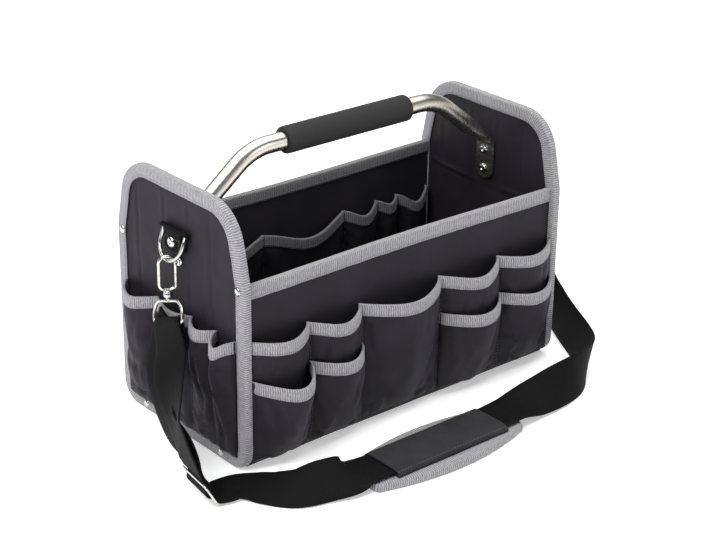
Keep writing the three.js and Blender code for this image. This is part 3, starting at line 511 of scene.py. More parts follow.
def ring_section(centre: np.ndarray, across: np.ndarray, up: np.ndarray, half_across: float,
                 half_up: float, sides: int, squareness: float = 2.0) -> np.ndarray:
    """Points of a round or squarish section.

    Args:
        centre: middle of the section.
        across: first unit direction.
        up: second unit direction.
        half_across: half size along across.
        half_up: half size along up.
        sides: how many points.
        squareness: 2 is an ellipse, more is squarer.

    Returns:
        The points.
    """
    angle = 2 * np.pi * (np.arange(sides) + 0.5) / sides - np.pi / 2
    c, s = np.cos(angle), np.sin(angle)
    a = np.sign(c) * np.abs(c) ** (2 / squareness) * half_across
    b = np.sign(s) * np.abs(s) ** (2 / squareness) * half_up
    return centre + a[:, None] * across + b[:, None] * up


def rod(name: str, points: Sequence[np.ndarray], normal: np.ndarray, radius: float,
        closed: bool = False, sides: int = 14, flat: float = 1.0) -> bpy.types.Object:
    """Sweep a round rod along a path that lies in one plane.

    Args:
        name: the piece's name.
        points: the path.
        normal: the plane's unit normal.
        radius: half the rod's thickness.
        closed: join the path's ends.
        sides: points in a section.
        flat: thickness along the normal as a share of the radius.

    Returns:
        The closed mesh.
    """
    p = np.array(points)
    if closed:
        along = unit(np.roll(p, -1, axis=0) - np.roll(p, 1, axis=0))
    else:
        along = unit(np.gradient(p, axis=0))
    rows = [ring_section(q, unit(np.cross(d, normal)), normal, radius, radius * flat, sides)
            for q, d in zip(p, along)]
    if not closed:
        for end, way in ((0, -1), (-1, 1)):
            tip = [ring_section(p[end] + way * along[end] * radius * math.sin(a),
                                unit(np.cross(along[end], normal)), normal,
                                radius * math.cos(a), radius * flat * math.cos(a), sides)
                   for a in (0.5, 1.0, 1.35)]
            rows = list(reversed(tip)) + rows if end == 0 else rows + tip
    return lattice(name, np.array(rows), wrap_rows=closed, wrap_ring=True, caps=not closed)


def turned(name: str, profile: Sequence[tuple[float, float]], origin: np.ndarray,
           axis: np.ndarray, side: np.ndarray, sides: int = 24) -> bpy.types.Object:
    """Turn a profile about an axis.

    Args:
        name: the piece's name.
        profile: (radius, place along the axis) pairs that start and end on the axis, or a
            closed loop of them that stays off it.
        origin: where the axis starts.
        axis: its unit direction.
        side: a unit direction square to it.
        sides: points round the axis.

    Returns:
        The closed mesh.
    """
    other = np.cross(axis, side)
    angles = 2 * np.pi * np.arange(sides) / sides
    open_ends = profile[0][0] < 1e-6
    kept = profile[1:-1] if open_ends else profile
    rows = np.array([[origin + axis * x + r * (math.cos(a) * side + math.sin(a) * other)
                      for a in angles] for r, x in kept])
    return lattice(name, rows, wrap_rows=not open_ends, wrap_ring=True, caps=open_ends)


def merge(name: str, pieces: Sequence[bpy.types.Object]) -> bpy.types.Object:
    """Join several meshes into one piece.

    Args:
        name: the joined piece's name.
        pieces: the meshes.

    Returns:
        The joined piece.
    """
    for other in bpy.context.selected_objects:
        other.select_set(False)
    for piece in pieces:
        piece.select_set(True)
    bpy.context.view_layer.objects.active = pieces[0]
    bpy.ops.object.join()
    pieces[0].select_set(False)
    pieces[0].name = name
    pieces[0].data.name = name
    return pieces[0]


# Materials

def linear(colour: str) -> tuple[float, float, float, float]:
    """Turn an sRGB hex colour to linear.

    Args:
        colour: six hex digits after a hash sign.

    Returns:
        Linear red, green, blue and 1.
    """
    parts = [int(colour[i:i + 2], 16) / 255 for i in (1, 3, 5)]
    lin = [p / 12.92 if p <= 0.04045 else ((p + 0.055) / 1.055) ** 2.4 for p in parts]
    return (*lin, 1.0)


def add(tree: bpy.types.NodeTree, kind: str, settings: Optional[dict] = None,
        links: Optional[dict] = None) -> bpy.types.Node:
    """Add a node with its settings and links.

    Args:
        tree: the node tree.
        kind: the node's type.
        settings: values for its properties or for its inputs, by name or number.
        links: sockets to join to its inputs, by name or number.

    Returns:
        The node.
    """
    node = tree.nodes.new(kind)
    for key, value in (settings or {}).items():
        if isinstance(key, str) and hasattr(node, key):
            setattr(node, key, value)
        else:
            node.inputs[key].default_value = value
    for key, socket in (links or {}).items():
        tree.links.new(socket, node.inputs[key])
    return node


def begin(name: str) -> tuple[bpy.types.Material, bpy.types.NodeTree, bpy.types.Node]:
    """Start a material.

    Args:
        name: its name.

    Returns:
        The material, its tree and its surface shader.
    """
    material = bpy.data.materials.new(name)
    material.use_nodes = True
    tree = material.node_tree
    tree.nodes.clear()
    shader = add(tree, "ShaderNodeBsdfPrincipled")
    add(tree, "ShaderNodeOutputMaterial", links={"Surface": shader.outputs[0]})
    return material, tree, shader


def ripple(tree: bpy.types.NodeTree, along: float, across: float,
           chevron: float = 0.0) -> bpy.types.NodeSocket:
    """A wave from 0 to 1 over the UV map, straight or in chevrons.

    Args:
        tree: the material's tree.
        along: waves a metre along U.
        across: waves a metre along V.
        chevron: width in metres of one chevron's stripe, or 0 for straight waves.

    Returns:
        The wave's socket.
    """
    place = add(tree, "ShaderNodeUVMap", {"uv_map": "UVMap"})
    split = add(tree, "ShaderNodeSeparateXYZ", links={0: place.outputs[0]})
    v = split.outputs[1]
    if chevron:
        v = add(tree, "ShaderNodeMath", {"operation": "PINGPONG", 1: chevron}, {0: v}).outputs[0]
    u = add(tree, "ShaderNodeMath", {"operation": "MULTIPLY", 1: along * 2 * math.pi},
            {0: split.outputs[0]})
    both = add(tree, "ShaderNodeMath", {"operation": "MULTIPLY_ADD", 1: across * 2 * math.pi},
               {0: v, 2: u.outputs[0]})
    wave = add(tree, "ShaderNodeMath", {"operation": "SINE"}, {0: both.outputs[0]})
    return add(tree, "ShaderNodeMapRange", {1: -1.0, 2: 1.0, 3: 0.0, 4: 1.0},
               {0: wave.outputs[0]}).outputs[0]


def speckle(tree: bpy.types.NodeTree, size: float, detail: float = 2.0) -> bpy.types.NodeSocket:
    """Soft noise over object coordinates.

    Args:
        tree: the material's tree.
        size: feature size in metres.
        detail: octaves.

    Returns:
        The noise's socket.
    """
    place = add(tree, "ShaderNodeTexCoord")
    return add(tree, "ShaderNodeTexNoise", {"Scale": 1 / size, "Detail": detail},
               {"Vector": place.outputs["Object"]}).outputs["Fac"]


def blend_colours(tree: bpy.types.NodeTree, share: bpy.types.NodeSocket, low: str,
                  high: str) -> bpy.types.NodeSocket:
    """Mix two colours.

    Args:
        tree: the material's tree.
        share: 0 for the first colour, 1 for the second.
        low: first colour as hex.
        high: second colour as hex.

    Returns:
        The colour's socket.
    """
    mix = add(tree, "ShaderNodeMix", {"data_type": "RGBA", 6: linear(low), 7: linear(high)},
              {0: share})
    return mix.outputs[2]


def surface(tree: bpy.types.NodeTree, shader: bpy.types.Node, colour: bpy.types.NodeSocket,
            height: bpy.types.NodeSocket, strength: float, relief: float,
            settings: dict[str, float]) -> None:
    """Join colour and relief to a shader and set its constants.

    Args:
        tree: the material's tree.
        shader: its surface shader.
        colour: the colour's socket.
        height: the relief's socket, 0 to 1.
        strength: the bump's strength.
        relief: the bump's depth in metres.
        settings: constants by the names of the shader's inputs.
    """
    bump = add(tree, "ShaderNodeBump", {"Strength": strength, "Distance": relief},
               {"Height": height})
    tree.links.new(colour, shader.inputs["Base Color"])
    tree.links.new(bump.outputs[0], shader.inputs["Normal"])
    for name, value in settings.items():
        shader.inputs[name].default_value = value


@dataclass(frozen=True)
class WovenPolyester:
    """Coated polyester oxford: black, matt, with a violet cast where light grazes it."""

    name: str = "woven_polyester"
    deep: str = "#121014"
    worn: str = "#232026"
    sheen: str = "#9a8fb4"
    sheen_weight: float = 0.08
    thread: float = 0.0012
    relief: float = 0.00012
    slant: float = 0.0

    def material(self) -> bpy.types.Material:
        """Build the material. The real threads are 0.5 mm apart; 1.2 mm is what still shows.

        Returns:
            The material.
        """
        made, tree, shader = begin(self.name)
        warp = ripple(tree, 1 / self.thread, self.slant / self.thread)
        weft = ripple(tree, -self.slant / self.thread, 1 / self.thread)
        weave = add(tree, "ShaderNodeMath", {"operation": "MAXIMUM"}, {0: warp, 1: weft})
        cloud = speckle(tree, 0.03, 3.0)
        grain = speckle(tree, 0.0016)
        height = add(tree, "ShaderNodeMath", {"operation": "MULTIPLY_ADD", 1: 0.6},
                     {0: grain, 2: weave.outputs[0]})
        tone = add(tree, "ShaderNodeMath", {"operation": "MULTIPLY_ADD", 1: 0.3},
                   {0: weave.outputs[0], 2: cloud})
        shade = add(tree, "ShaderNodeMapRange", {1: 0.3, 2: 1.1}, {0: tone.outputs[0]})
        surface(tree, shader, blend_colours(tree, shade.outputs[0], self.deep, self.worn),
                height.outputs[0], 0.55, self.relief,
                {"Roughness": 0.72, "IOR": 1.5, "Specular IOR Level": 0.25,
                 "Sheen Weight": self.sheen_weight, "Sheen Roughness": 0.4})
        shader.inputs["Sheen Tint"].default_value = linear(self.sheen)
        return made


@dataclass(frozen=True)
class HerringboneTape:
    """Grey polyester binding tape: matt, with fine ribs across it that lean in stripes."""

    name: str = "herringbone_tape"
    low: str = "#4a494c"
    high: str = "#9f9ea2"
    pitch: float = 0.0023
    stripe: float = 0.0036

    def material(self) -> bpy.types.Material:
        """Build the material. The real ribs are 1 mm apart; 2.3 mm is what still shows.

        Returns:
            The material.
        """
        made, tree, shader = begin(self.name)
        rib = ripple(tree, 1 / self.pitch, 0.14 / self.pitch, self.stripe)
        cloud = speckle(tree, 0.0028, 3.0)
        tone = add(tree, "ShaderNodeMath", {"operation": "MULTIPLY_ADD", 1: 0.75},
                   {0: rib, 2: cloud})
        shade = add(tree, "ShaderNodeMapRange", {1: 0.2, 2: 1.3}, {0: tone.outputs[0]})
        surface(tree, shader, blend_colours(tree, shade.outputs[0], self.low, self.high),
                rib, 0.8, 0.0004, {"Roughness": 0.8, "Sheen Weight": 0.15})
        return made


@dataclass(frozen=True)
class TwillWebbing:
    """Black polyester webbing: nearly black, dull, with a fine diagonal twill."""

    name: str = "twill_webbing"
    low: str = "#040405"
    high: str = "#101011"
    pitch: float = 0.0022

    def material(self) -> bpy.types.Material:
        """Build the material. The real ridges are 1.2 mm apart; 2.2 mm is what still shows.

        Returns:
            The material.
        """
        made, tree, shader = begin(self.name)
        ridge = ripple(tree, 1 / self.pitch, 0.8 / self.pitch)
        grain = speckle(tree, 0.0014)
        tone = add(tree, "ShaderNodeMath", {"operation": "MULTIPLY"}, {0: ridge, 1: grain})
        shade = add(tree, "ShaderNodeMapRange", {1: 0.0, 2: 0.55}, {0: tone.outputs[0]})
        surface(tree, shader, blend_colours(tree, shade.outputs[0], self.low, self.high),
                ridge, 0.8, 0.0002, {"Roughness": 0.7, "Specular IOR Level": 0.1})
        return made


@dataclass(frozen=True)
class SatinSteel:
    """Satin stainless tube, polished round its girth, warm and softly streaked."""

    name: str = "satin_steel"
    low: str = "#aaa69d"
    high: str = "#d8d4ca"

    def material(self) -> bpy.types.Material:
        """Build the material. Polish marks run round the tube, 0.4 mm apart.

        Returns:
            The material.
        """
        made, tree, shader = begin(self.name)
        place = add(tree, "ShaderNodeUVMap", {"uv_map": "UVMap"})
        stretch = add(tree, "ShaderNodeMapping", {"Scale": (2200.0, 60.0, 1.0)},
                      {"Vector": place.outputs[0]})
        streak = add(tree, "ShaderNodeTexNoise", {"Scale": 1.0, "Detail": 3.0},
                     {"Vector": stretch.outputs[0]})
        rough = add(tree, "ShaderNodeMapRange", {3: 0.2, 4: 0.36},
                    {0: streak.outputs["Fac"]})
        tree.links.new(rough.outputs[0], shader.inputs["Roughness"])
        surface(tree, shader, blend_colours(tree, streak.outputs["Fac"], self.low, self.high),
                streak.outputs["Fac"], 0.12, 0.00005, {"Metallic": 1.0})
        return made


@dataclass(frozen=True)
class PlatedSteel:
    """Nickel and chrome plated wire: bright, with faint casting waves, and a colour that the waves
    darken in patches as painted dark reflections.
    """

    name: str = "plated_steel"
    # Darker tone that the waves mix in: painted dark reflections.
    shade: str = "#a8a6a2"
    colour: str = "#d2d0cc"
    rough_low: float = 0.08
    rough_high: float = 0.22

    def material(self) -> bpy.types.Material:
        """Build the material. The waves are about 3 mm, as on small die castings.

        Returns:
            The material.
        """
        made, tree, shader = begin(self.name)
        waves = speckle(tree, 0.003)
        rough = add(tree, "ShaderNodeMapRange", {3: self.rough_low, 4: self.rough_high},
                    {0: waves})
        tree.links.new(rough.outputs[0], shader.inputs["Roughness"])
        # Painted reflection: the waves mix the darker tone into the colour in patches. These
        # patches stand in for dark surroundings seen in the plating.
        painted_reflection = add(tree, "ShaderNodeMapRange", {1: 0.35, 2: 0.65}, {0: waves})
        surface(tree, shader, blend_colours(tree, painted_reflection.outputs[0], self.shade, self.colour),
                waves, 0.15, 0.0001, {"Metallic": 1.0})
        return made


@dataclass(frozen=True)
class GripFoam:
    """Closed-cell rubber foam: charcoal, dull, finely pitted."""

    name: str = "grip_foam"
    low: str = "#101010"
    high: str = "#232324"

    def material(self) -> bpy.types.Material:
        """Build the material. The real cells are 0.3 mm; 0.9 mm is what still shows.

        Returns:
            The material.
        """
        made, tree, shader = begin(self.name)
        cells = speckle(tree, 0.0009, 3.0)
        surface(tree, shader, blend_colours(tree, cells, self.low, self.high), cells, 0.5,
                0.00025, {"Roughness": 0.85})
        return made


class Finishes:
    """The finishes that the sub-assemblies share."""

    def __init__(self) -> None:
        """Build every material once."""
        self.cloth = WovenPolyester().material()
        self.lining = WovenPolyester("lining_polyester", "#101012", "#1d1c20",
                                     sheen_weight=0.05).material()
        self.sleeve = WovenPolyester("sleeve_polyester", "#161618", "#2c2c2f", slant=0.9,
                                     thread=0.0017, relief=0.0002).material()
        self.tape = HerringboneTape().material()
        # Darker tape: the inner pockets' elastic, and painted shade on the back rim's tape.
        self.dark_tape = HerringboneTape("elastic_tape", "#3c3c3f", "#747376").material()
        self.webbing = TwillWebbing().material()
        self.thread = WovenPolyester("sewing_thread", "#3f3f42", "#55555a").material()
        self.grey_thread = WovenPolyester("grey_thread", "#6d6d70", "#8a8a8d").material()
        self.steel = SatinSteel().material()
        self.plate = SatinSteel("pressed_steel", "#4f4d48", "#8a877f").material()
        self.chrome = PlatedSteel().material()
        self.foam = GripFoam().material()


def dress(piece: bpy.types.Object, material: bpy.types.Material,
          body: Body = Body.TOTE, stands_for: Sequence[str] = ()) -> bpy.types.Object:
    """Give a finished piece its material, its body and the nodes it stands for.

    Args:
        piece: the piece.
        material: its material.
        body: the body it rides on.
        stands_for: the frame's nodes that it replaces.

    Returns:
        The same piece.
    """
    piece.data.materials.clear()
    piece.data.materials.append(material)
    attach(piece, body.value)
    if stands_for:
        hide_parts(*stands_for)
    LOG.info("%s: %d faces", piece.name, len(piece.data.polygons))
    return piece


# Things that repeat, made with Geometry Nodes

def repeat_tree(name: str, on_path: bool) -> bpy.types.NodeTree:
    """Build the tree that lays copies of a small piece along a path or on points.

    Args:
        name: the tree's name.
        on_path: copies along the edges at a pitch if true, else one on each point.

    Returns:
        The tree, with inputs Geometry, Copy, Pitch, Scatter and Material.
    """
    tree = bpy.data.node_groups.new(name, "GeometryNodeTree")
    face = tree.interface
    face.new_socket("Geometry", in_out="INPUT", socket_type="NodeSocketGeometry")
    face.new_socket("Copy", in_out="INPUT", socket_type="NodeSocketObject")
    face.new_socket("Pitch", in_out="INPUT", socket_type="NodeSocketFloat")
    face.new_socket("Scatter", in_out="INPUT", socket_type="NodeSocketFloat")
    face.new_socket("Material", in_out="INPUT", socket_type="NodeSocketMaterial")
    face.new_socket("Geometry", in_out="OUTPUT", socket_type="NodeSocketGeometry")
    given = add(tree, "NodeGroupInput")
    copy = add(tree, "GeometryNodeObjectInfo", links={"Object": given.outputs["Copy"]})
    points = given.outputs["Geometry"]
    if on_path:
        curve = add(tree, "GeometryNodeMeshToCurve", links={0: points})
        even = add(tree, "GeometryNodeResampleCurve", {"mode": "LENGTH"},
                   {"Curve": curve.outputs[0], "Length": given.outputs["Pitch"]})
        points = even.outputs[0]
        aim = add(tree, "GeometryNodeInputTangent").outputs[0]
    else:
        aim = add(tree, "GeometryNodeInputNamedAttribute",
                  {"data_type": "FLOAT_VECTOR", "Name": "aim"}).outputs[0]
    turn = add(tree, "FunctionNodeAlignRotationToVector", {"axis": "X"}, {"Vector": aim})
    size = add(tree, "FunctionNodeRandomValue", {"data_type": "FLOAT", "Seed": 7, 2: 0.92, 3: 1.0})
    scale = add(tree, "ShaderNodeMath", {"operation": "ADD"},
                {0: size.outputs[1], 1: given.outputs["Scatter"]})
    laid = add(tree, "GeometryNodeInstanceOnPoints",
               links={"Points": points, "Instance": copy.outputs["Geometry"],
                      "Rotation": turn.outputs[0], "Scale": scale.outputs[0]})
    real = add(tree, "GeometryNodeRealizeInstances", links={0: laid.outputs[0]})
    painted = add(tree, "GeometryNodeSetMaterial",
                  links={"Geometry": real.outputs[0], "Material": given.outputs["Material"]})
    add(tree, "NodeGroupOutput", links={0: painted.outputs[0]})
    return tree


def repeat(name: str, tree: bpy.types.NodeTree, points: np.ndarray,
           edges: Sequence[tuple[int, int]], copy: bpy.types.Object,
           material: bpy.types.Material, pitch: float = 3.5,
           aims: Optional[np.ndarray] = None) -> bpy.types.Object:
    """Lay copies of a small piece and turn them into one mesh.

    Args:
        name: the new piece's name.
        tree: the tree from repeat_tree.
        points: places in mm.
        edges: pairs of places that the path joins.
        copy: the small piece, whose X axis runs along the path or along the aim.
        material: the copies' material.
        pitch: spacing along the path in mm.
        aims: one direction for each place, where there is no path.

    Returns:
        The finished mesh piece.
    """
    mesh = bpy.data.meshes.new(name)
    mesh.from_pydata((points * MM).tolist(), list(edges), [])
    if aims is not None:
        layer = mesh.attributes.new("aim", "FLOAT_VECTOR", "POINT")
        layer.data.foreach_set("vector", np.asarray(aims, np.float32).ravel())
    piece = bpy.data.objects.new(name, mesh)
    bpy.context.scene.collection.objects.link(piece)
    work = piece.modifiers.new("copies", "NODES")
    work.node_group = tree
    values = {"Copy": copy, "Pitch": pitch * MM, "Scatter": 0.0, "Material": material}
    for socket in tree.interface.items_tree:
        if socket.in_out == "INPUT" and socket.name in values:
            work[socket.identifier] = values[socket.name]
    return settle(piece)


class Needlework:
    """Sewn lines, gathered from the pieces and laid in one go for each thread."""

    def __init__(self, finishes: Finishes) -> None:
        """Make the stitch and its tree.

        Args:
            finishes: the shared materials.
        """
        self.finishes = finishes
        self.tree = repeat_tree("sewn_line", True)
        axis, side = vec(1, 0, 0), vec(0, 1, 0)
        self.stitch = turned("stitch", [(0, -1.3), (0.2, -1.25), (0.34, -0.6), (0.36, 0.6),
                                        (0.2, 1.25), (0, 1.3)], vec(0, 0, 0), axis, side, 6)
        self.lines: dict[str, list[np.ndarray]] = {"dark": [], "grey": []}

    def sew(self, line: Sequence[np.ndarray], thread: str = "dark") -> None:
        """Keep a line for sewing.

        Args:
            line: the line's points in mm.
            thread: dark or grey.
        """
        self.lines[thread].append(np.array(line))

    def sew_tape(self, stations: Sequence["TapeStation"], thickness: float, reach: float,
                 legs: Sequence[int] = (1, -1), closed: bool = False) -> None:
        """Sew a tape's legs down.

        Args:
            stations: places along the taped edge.
            thickness: what the tape folds over.
            reach: how far below the edge the line runs.
            legs: 1 for the outer leg, -1 for the inner.
            closed: the edge is a closed loop.
        """
        off = thickness / 2 + BAG.gap + BAG.tape + STITCH_LIFT
        for leg in legs:
            line = [t.edge + t.out * leg * off + t.down * reach for t in stations]
            self.sew(line + line[:1] if closed else line, "grey")

    def finish(self) -> None:
        """Lay every kept line, and put the single stitch away."""
        materials = {"dark": self.finishes.thread, "grey": self.finishes.grey_thread}
        for thread, lines in self.lines.items():
            if not lines:
                continue
            points = np.concatenate(lines)
            starts = np.cumsum([0] + [len(line) for line in lines])
            edges = [(a + k, a + k + 1) for a, line in zip(starts, lines)
                     for k in range(len(line) - 1)]
            piece = repeat(f"{thread}_stitching", self.tree, points, edges, self.stitch,
                           materials[thread], pitch=3.6)
            dress(piece, materials[thread])
        bpy.data.objects.remove(self.stitch)


# Edge tape

@dataclass(frozen=True)
class TapeStation:
    """One place along a taped edge."""

    edge: np.ndarray
    out: np.ndarray
    down: np.ndarray


def bind_edge(name: str, stations: Sequence[TapeStation], thickness: float, drop: float,
              closed: bool = False, seed: float = 0.0, wave: float = 0.35) -> bpy.types.Object:
    """Fold a tape over an edge.

    Args:
        name: the piece's name.
        stations: places along the edge.
        thickness: what the tape folds over.
        drop: how far its legs reach down.
        closed: the edge is a closed loop.
        seed: which waviness.
        wave: how far the legs' ends wander, in mm.

    Returns:
        The tape as a closed mesh.
    """
    inner = thickness / 2 + BAG.gap
    outer = inner + BAG.tape
    arc = [math.pi * k / 8 for k in range(9)]
    rise = BAG.tape_stack
    over = [(outer * math.cos(a), 0.4 - (rise + 0.4) * math.sin(a) ** 0.7) for a in arc]
    under = [(-inner * math.cos(a), 0.4 - (BAG.gap + 0.3) * math.sin(a)) for a in arc[1:-1]]
    outside = [(outer, drop - 0.25), (outer + 0.12, drop * 0.7), (outer, drop * 0.35)]
    other = [(-o, d) for o, d in reversed(outside)]
    tips = [(-outer + 0.3, drop), (-inner - 0.2, drop), (-inner, drop - 0.3), (-inner, drop * 0.5)]
    last = [(inner, drop * 0.5), (inner, drop - 0.3), (inner + 0.2, drop), (outer - 0.3, drop)]
    profile = outside + over + other + tips + under + last
    rows = []
    for s in stations:
        w = wave * waviness(*s.edge, 9.0, seed)
        sway = 0.7 * wave * waviness(*s.edge, 17.0, seed + 4.0)
        rows.append([s.edge + s.out * (o + sway) + s.down * (d + (w if d > drop * 0.5 else 0.0))
                     for o, d in profile])
    return lattice(name, np.array(rows), wrap_rows=closed, wrap_ring=True, caps=not closed)


# Pockets

@dataclass(frozen=True)
class Face:
    """A face of the bag that carries pockets."""

    start: tuple[float, float, float]
    along: tuple[float, float, float]
    out: tuple[float, float, float]
    half: float
    bow: float

    def place(self, s: float, z: float, out: float) -> np.ndarray:
        """A point on or off the face.

        Args:
            s: distance along the face from its middle.
            z: height.
            out: distance off the face.

        Returns:
            The point.
        """
        return (vec(*self.start) + vec(*self.along) * s + vec(0, 0, z)
                + vec(*self.out) * (out + self.bow * bow_at(s, z)))


FACES = {
    "front": Face((0, -BAG.face_y, 0), (1, 0, 0), (0, -1, 0), BAG.seated_end, -1),
    "back": Face((0, BAG.face_y, 0), (1, 0, 0), (0, 1, 0), BAG.seated_end, -1),
    "left": Face((-BAG.length / 2, 0, 0), (0, 1, 0), (-1, 0, 0), BAG.end_clear_y, 0),
    "right": Face((BAG.length / 2, 0, 0), (0, 1, 0), (1, 0, 0), BAG.end_clear_y, 0),
    "inside": Face((0, BAG.face_y - BAG.wall, 0), (1, 0, 0), (0, -1, 0), BAG.seated_end, 1),
}


@dataclass(frozen=True)
class Bay:
    """One pocket of a row: where it starts and ends as shares of the face's half length, its
    bulge and the sag of its top edge as shares of the row's height."""

    start: float
    end: float
    bulge: float
    sag: float


@dataclass(frozen=True)
class Crease:
    """A fold in a pocket's cloth: its foot as a share along the face, its lean in mm per mm of
    height, the levels it runs between, and its width and depth in mm."""

    foot: float
    lean: float
    low: float
    high: float
    width: float
    depth: float


@dataclass(frozen=True)
class PocketRow:
    """A strip of cloth sewn down between its bays, with a taped top edge."""

    name: str
    face: Face
    bottom: float
    top: float
    lift: float
    rise: float
    bays: tuple[Bay, ...]
    creases: tuple[Crease, ...] = ()
    under: Optional["PocketRow"] = None
    ripples: float = 0.9
    dark: bool = False
    cloths: tuple[str, ...] = ("",)
    swell_power: float = 0.75
    small_fold: float = 11.0
    large_fold: float = 24.0
    seam_free: float = 9.0

    def bay_at(self, share: float) -> Optional[Bay]:
        """The bay at a place, if the row reaches there.

        Args:
            share: place along the face.

        Returns:
            The bay, or None where the row has none.
        """
        return next((b for b in self.bays if b.start - 1e-9 <= share <= b.end + 1e-9), None)

    def top_at(self, share: float, bay: Bay) -> float:
        """Height of the top edge.

        Args:
            share: place along the face.
            bay: the bay there.

        Returns:
            The height in mm.
        """
        across = (share - bay.start) / (bay.end - bay.start)
        return self.top - bay.sag * (self.top - self.bottom) * math.sin(math.pi * across) ** 2

    def stand_off(self, s: float, z: float, folds: bool = True) -> float:
        """How far the cloth's middle stands off the face.

        Args:
            s: distance along the face.
            z: height.
            folds: add the creases and ripples.

        Returns:
            The distance in mm.
        """
        share = s / self.face.half
        bay = self.bay_at(share)
        if bay is None:
            return self.lift
        height = self.top - self.bottom
        top = self.top_at(share, bay)
        level = (z - self.bottom) / (top - BAG.pocket_tape_drop - self.bottom)
        level = min(max(level, 0.0), 1.0)
        across = min(max((share - bay.start) / (bay.end - bay.start), 0.0), 1.0)
        swell = math.sin(math.pi * across) ** self.swell_power
        backing = min(z + BAG.pocket_tape_drop * level, top)
        below = self.under.stand_off(s, backing, False) if self.under else 0.0
        reach = self.lift + below + bay.bulge * height * swell * level**self.rise
        if not folds:
            return reach
        free = min(across * (bay.end - bay.start), (1 - across) * (bay.end - bay.start))
        loose = smoothstep(free * self.face.half, 1.0, self.seam_free)
        loose *= 1 - smoothstep(level, 0.86, 1.0)
        fold = self.ripples * waviness(s, z * 0.35, 0.0, self.small_fold, len(self.name) * 1.7)
        fold += 0.6 * self.ripples * waviness(s, z, 5.0, self.large_fold,
                                              len(self.name) * 0.9)
        for crease in self.creases:
            if not bay.start <= crease.foot + 1e-9 <= bay.end:
                continue
            off = s - crease.foot * self.face.half - crease.lean * (z - self.bottom)
            run = smoothstep(level, crease.low - 0.12, crease.low + 0.1)
            run *= 1 - smoothstep(level, crease.high - 0.25, crease.high + 0.05)
            shape = math.exp(-((off / crease.width) ** 2))
            trough = 0.45 * math.exp(-(((off - 1.6 * crease.width) / crease.width) ** 2))
            fold += crease.depth * run * (shape - trough)
        return max(reach + fold * loose, self.lift + below - 0.9 if self.under else 1.0)

    def stations(self, pitch: float) -> list[tuple[float, float]]:
        """Places along the row with the height of its top edge.

        Args:
            pitch: rough spacing in mm.

        Returns:
            Pairs of distance along the face and top height.
        """
        places = []
        for number, bay in enumerate(self.bays):
            steps = max(8, round((bay.end - bay.start) * self.face.half / pitch))
            for i in range(0 if number == 0 else 1, steps + 1):
                share = bay.start + (bay.end - bay.start) * i / steps
                places.append((share * self.face.half, self.top_at(share, bay)))
        return places


THREE_CLOTHS = ("_left", "_middle", "_right")
FRONT_BOTTOM = BAG.wall_bottom + 1

FRONT_UPPER = PocketRow(
    "front_upper", FACES["front"], FRONT_BOTTOM, 133.0, BAG.lift, 0.75,
    (Bay(-1, -0.65, 0.15, 0.02), Bay(-0.65, -0.32, 0.16, 0.03), Bay(-0.32, 0.21, 0.21, 0.03),
     Bay(0.21, 0.62, 0.17, 0.04), Bay(0.62, 1, 0.15, 0.02)),
    (Crease(-0.29, 0.04, 0.02, 0.5, 4, 2.4), Crease(-0.22, 0.02, 0.0, 0.35, 5, 2.0),
     Crease(0.17, -0.05, 0.0, 0.55, 4, 2.6), Crease(0.1, -0.1, 0.0, 0.4, 6, 2.0),
     Crease(-0.05, 0.03, 0.05, 0.75, 9, 1.6)), cloths=THREE_CLOTHS)

FRONT_LOWER_LEFT = PocketRow(
    "front_lower_left", FACES["front"], FRONT_BOTTOM, 94.0, BAG.lift + BAG.cloth / 2, 0.6,
    (Bay(-1, -0.65, 0.24, 0.05), Bay(-0.65, -0.32, 0.1, 0.02)),
    (Crease(-0.756, -0.5, 0.4, 1.1, 4.5, 3.4), Crease(-0.912, -0.2, 0.4, 1.1, 3.5, 2.8),
     Crease(-0.7, -0.06, 0.0, 0.6, 6, 2.6), Crease(-0.59, 0.08, 0.0, 0.7, 6, 2.6),
     Crease(-0.38, -0.12, 0.0, 0.8, 6, 2.8)),
    FRONT_UPPER)

FRONT_LOWER_RIGHT = PocketRow(
    "front_lower_right", FACES["front"], FRONT_BOTTOM, 94.0, BAG.lift + BAG.cloth / 2, 0.6,
    (Bay(0.21, 0.62, 0.12, 0.03), Bay(0.62, 1, 0.1, 0.03)),
    (Crease(0.26, 0.08, 0.0, 0.8, 4, 2.4), Crease(0.56, -0.14, 0.0, 0.75, 5, 2.4),
     Crease(0.4, 0.1, 0.0, 0.5, 6, 1.6), Crease(0.68, 0.08, 0.0, 0.7, 4, 2.2),
     Crease(0.93, -0.1, 0.0, 0.8, 4, 2.2)),
    FRONT_UPPER)

BACK = PocketRow(
    "back", FACES["back"], FRONT_BOTTOM, 131.0, BAG.lift, 0.75,
    tuple(Bay(a, a + 0.4, 0.12, 0.02) for a in (-1, -0.6, -0.2, 0.2, 0.6)),
    tuple(Crease(a, lean, 0.0, high, 5, 2.2) for a, lean, high in (
        (-0.93, 0.08, 0.6), (-0.66, -0.08, 0.7), (-0.53, 0.07, 0.55), (-0.27, -0.06, 0.65),
        (-0.13, 0.08, 0.7), (0.13, -0.08, 0.5), (0.27, 0.06, 0.7), (0.53, -0.07, 0.6),
        (0.67, 0.08, 0.65), (0.93, -0.08, 0.6))), cloths=THREE_CLOTHS)

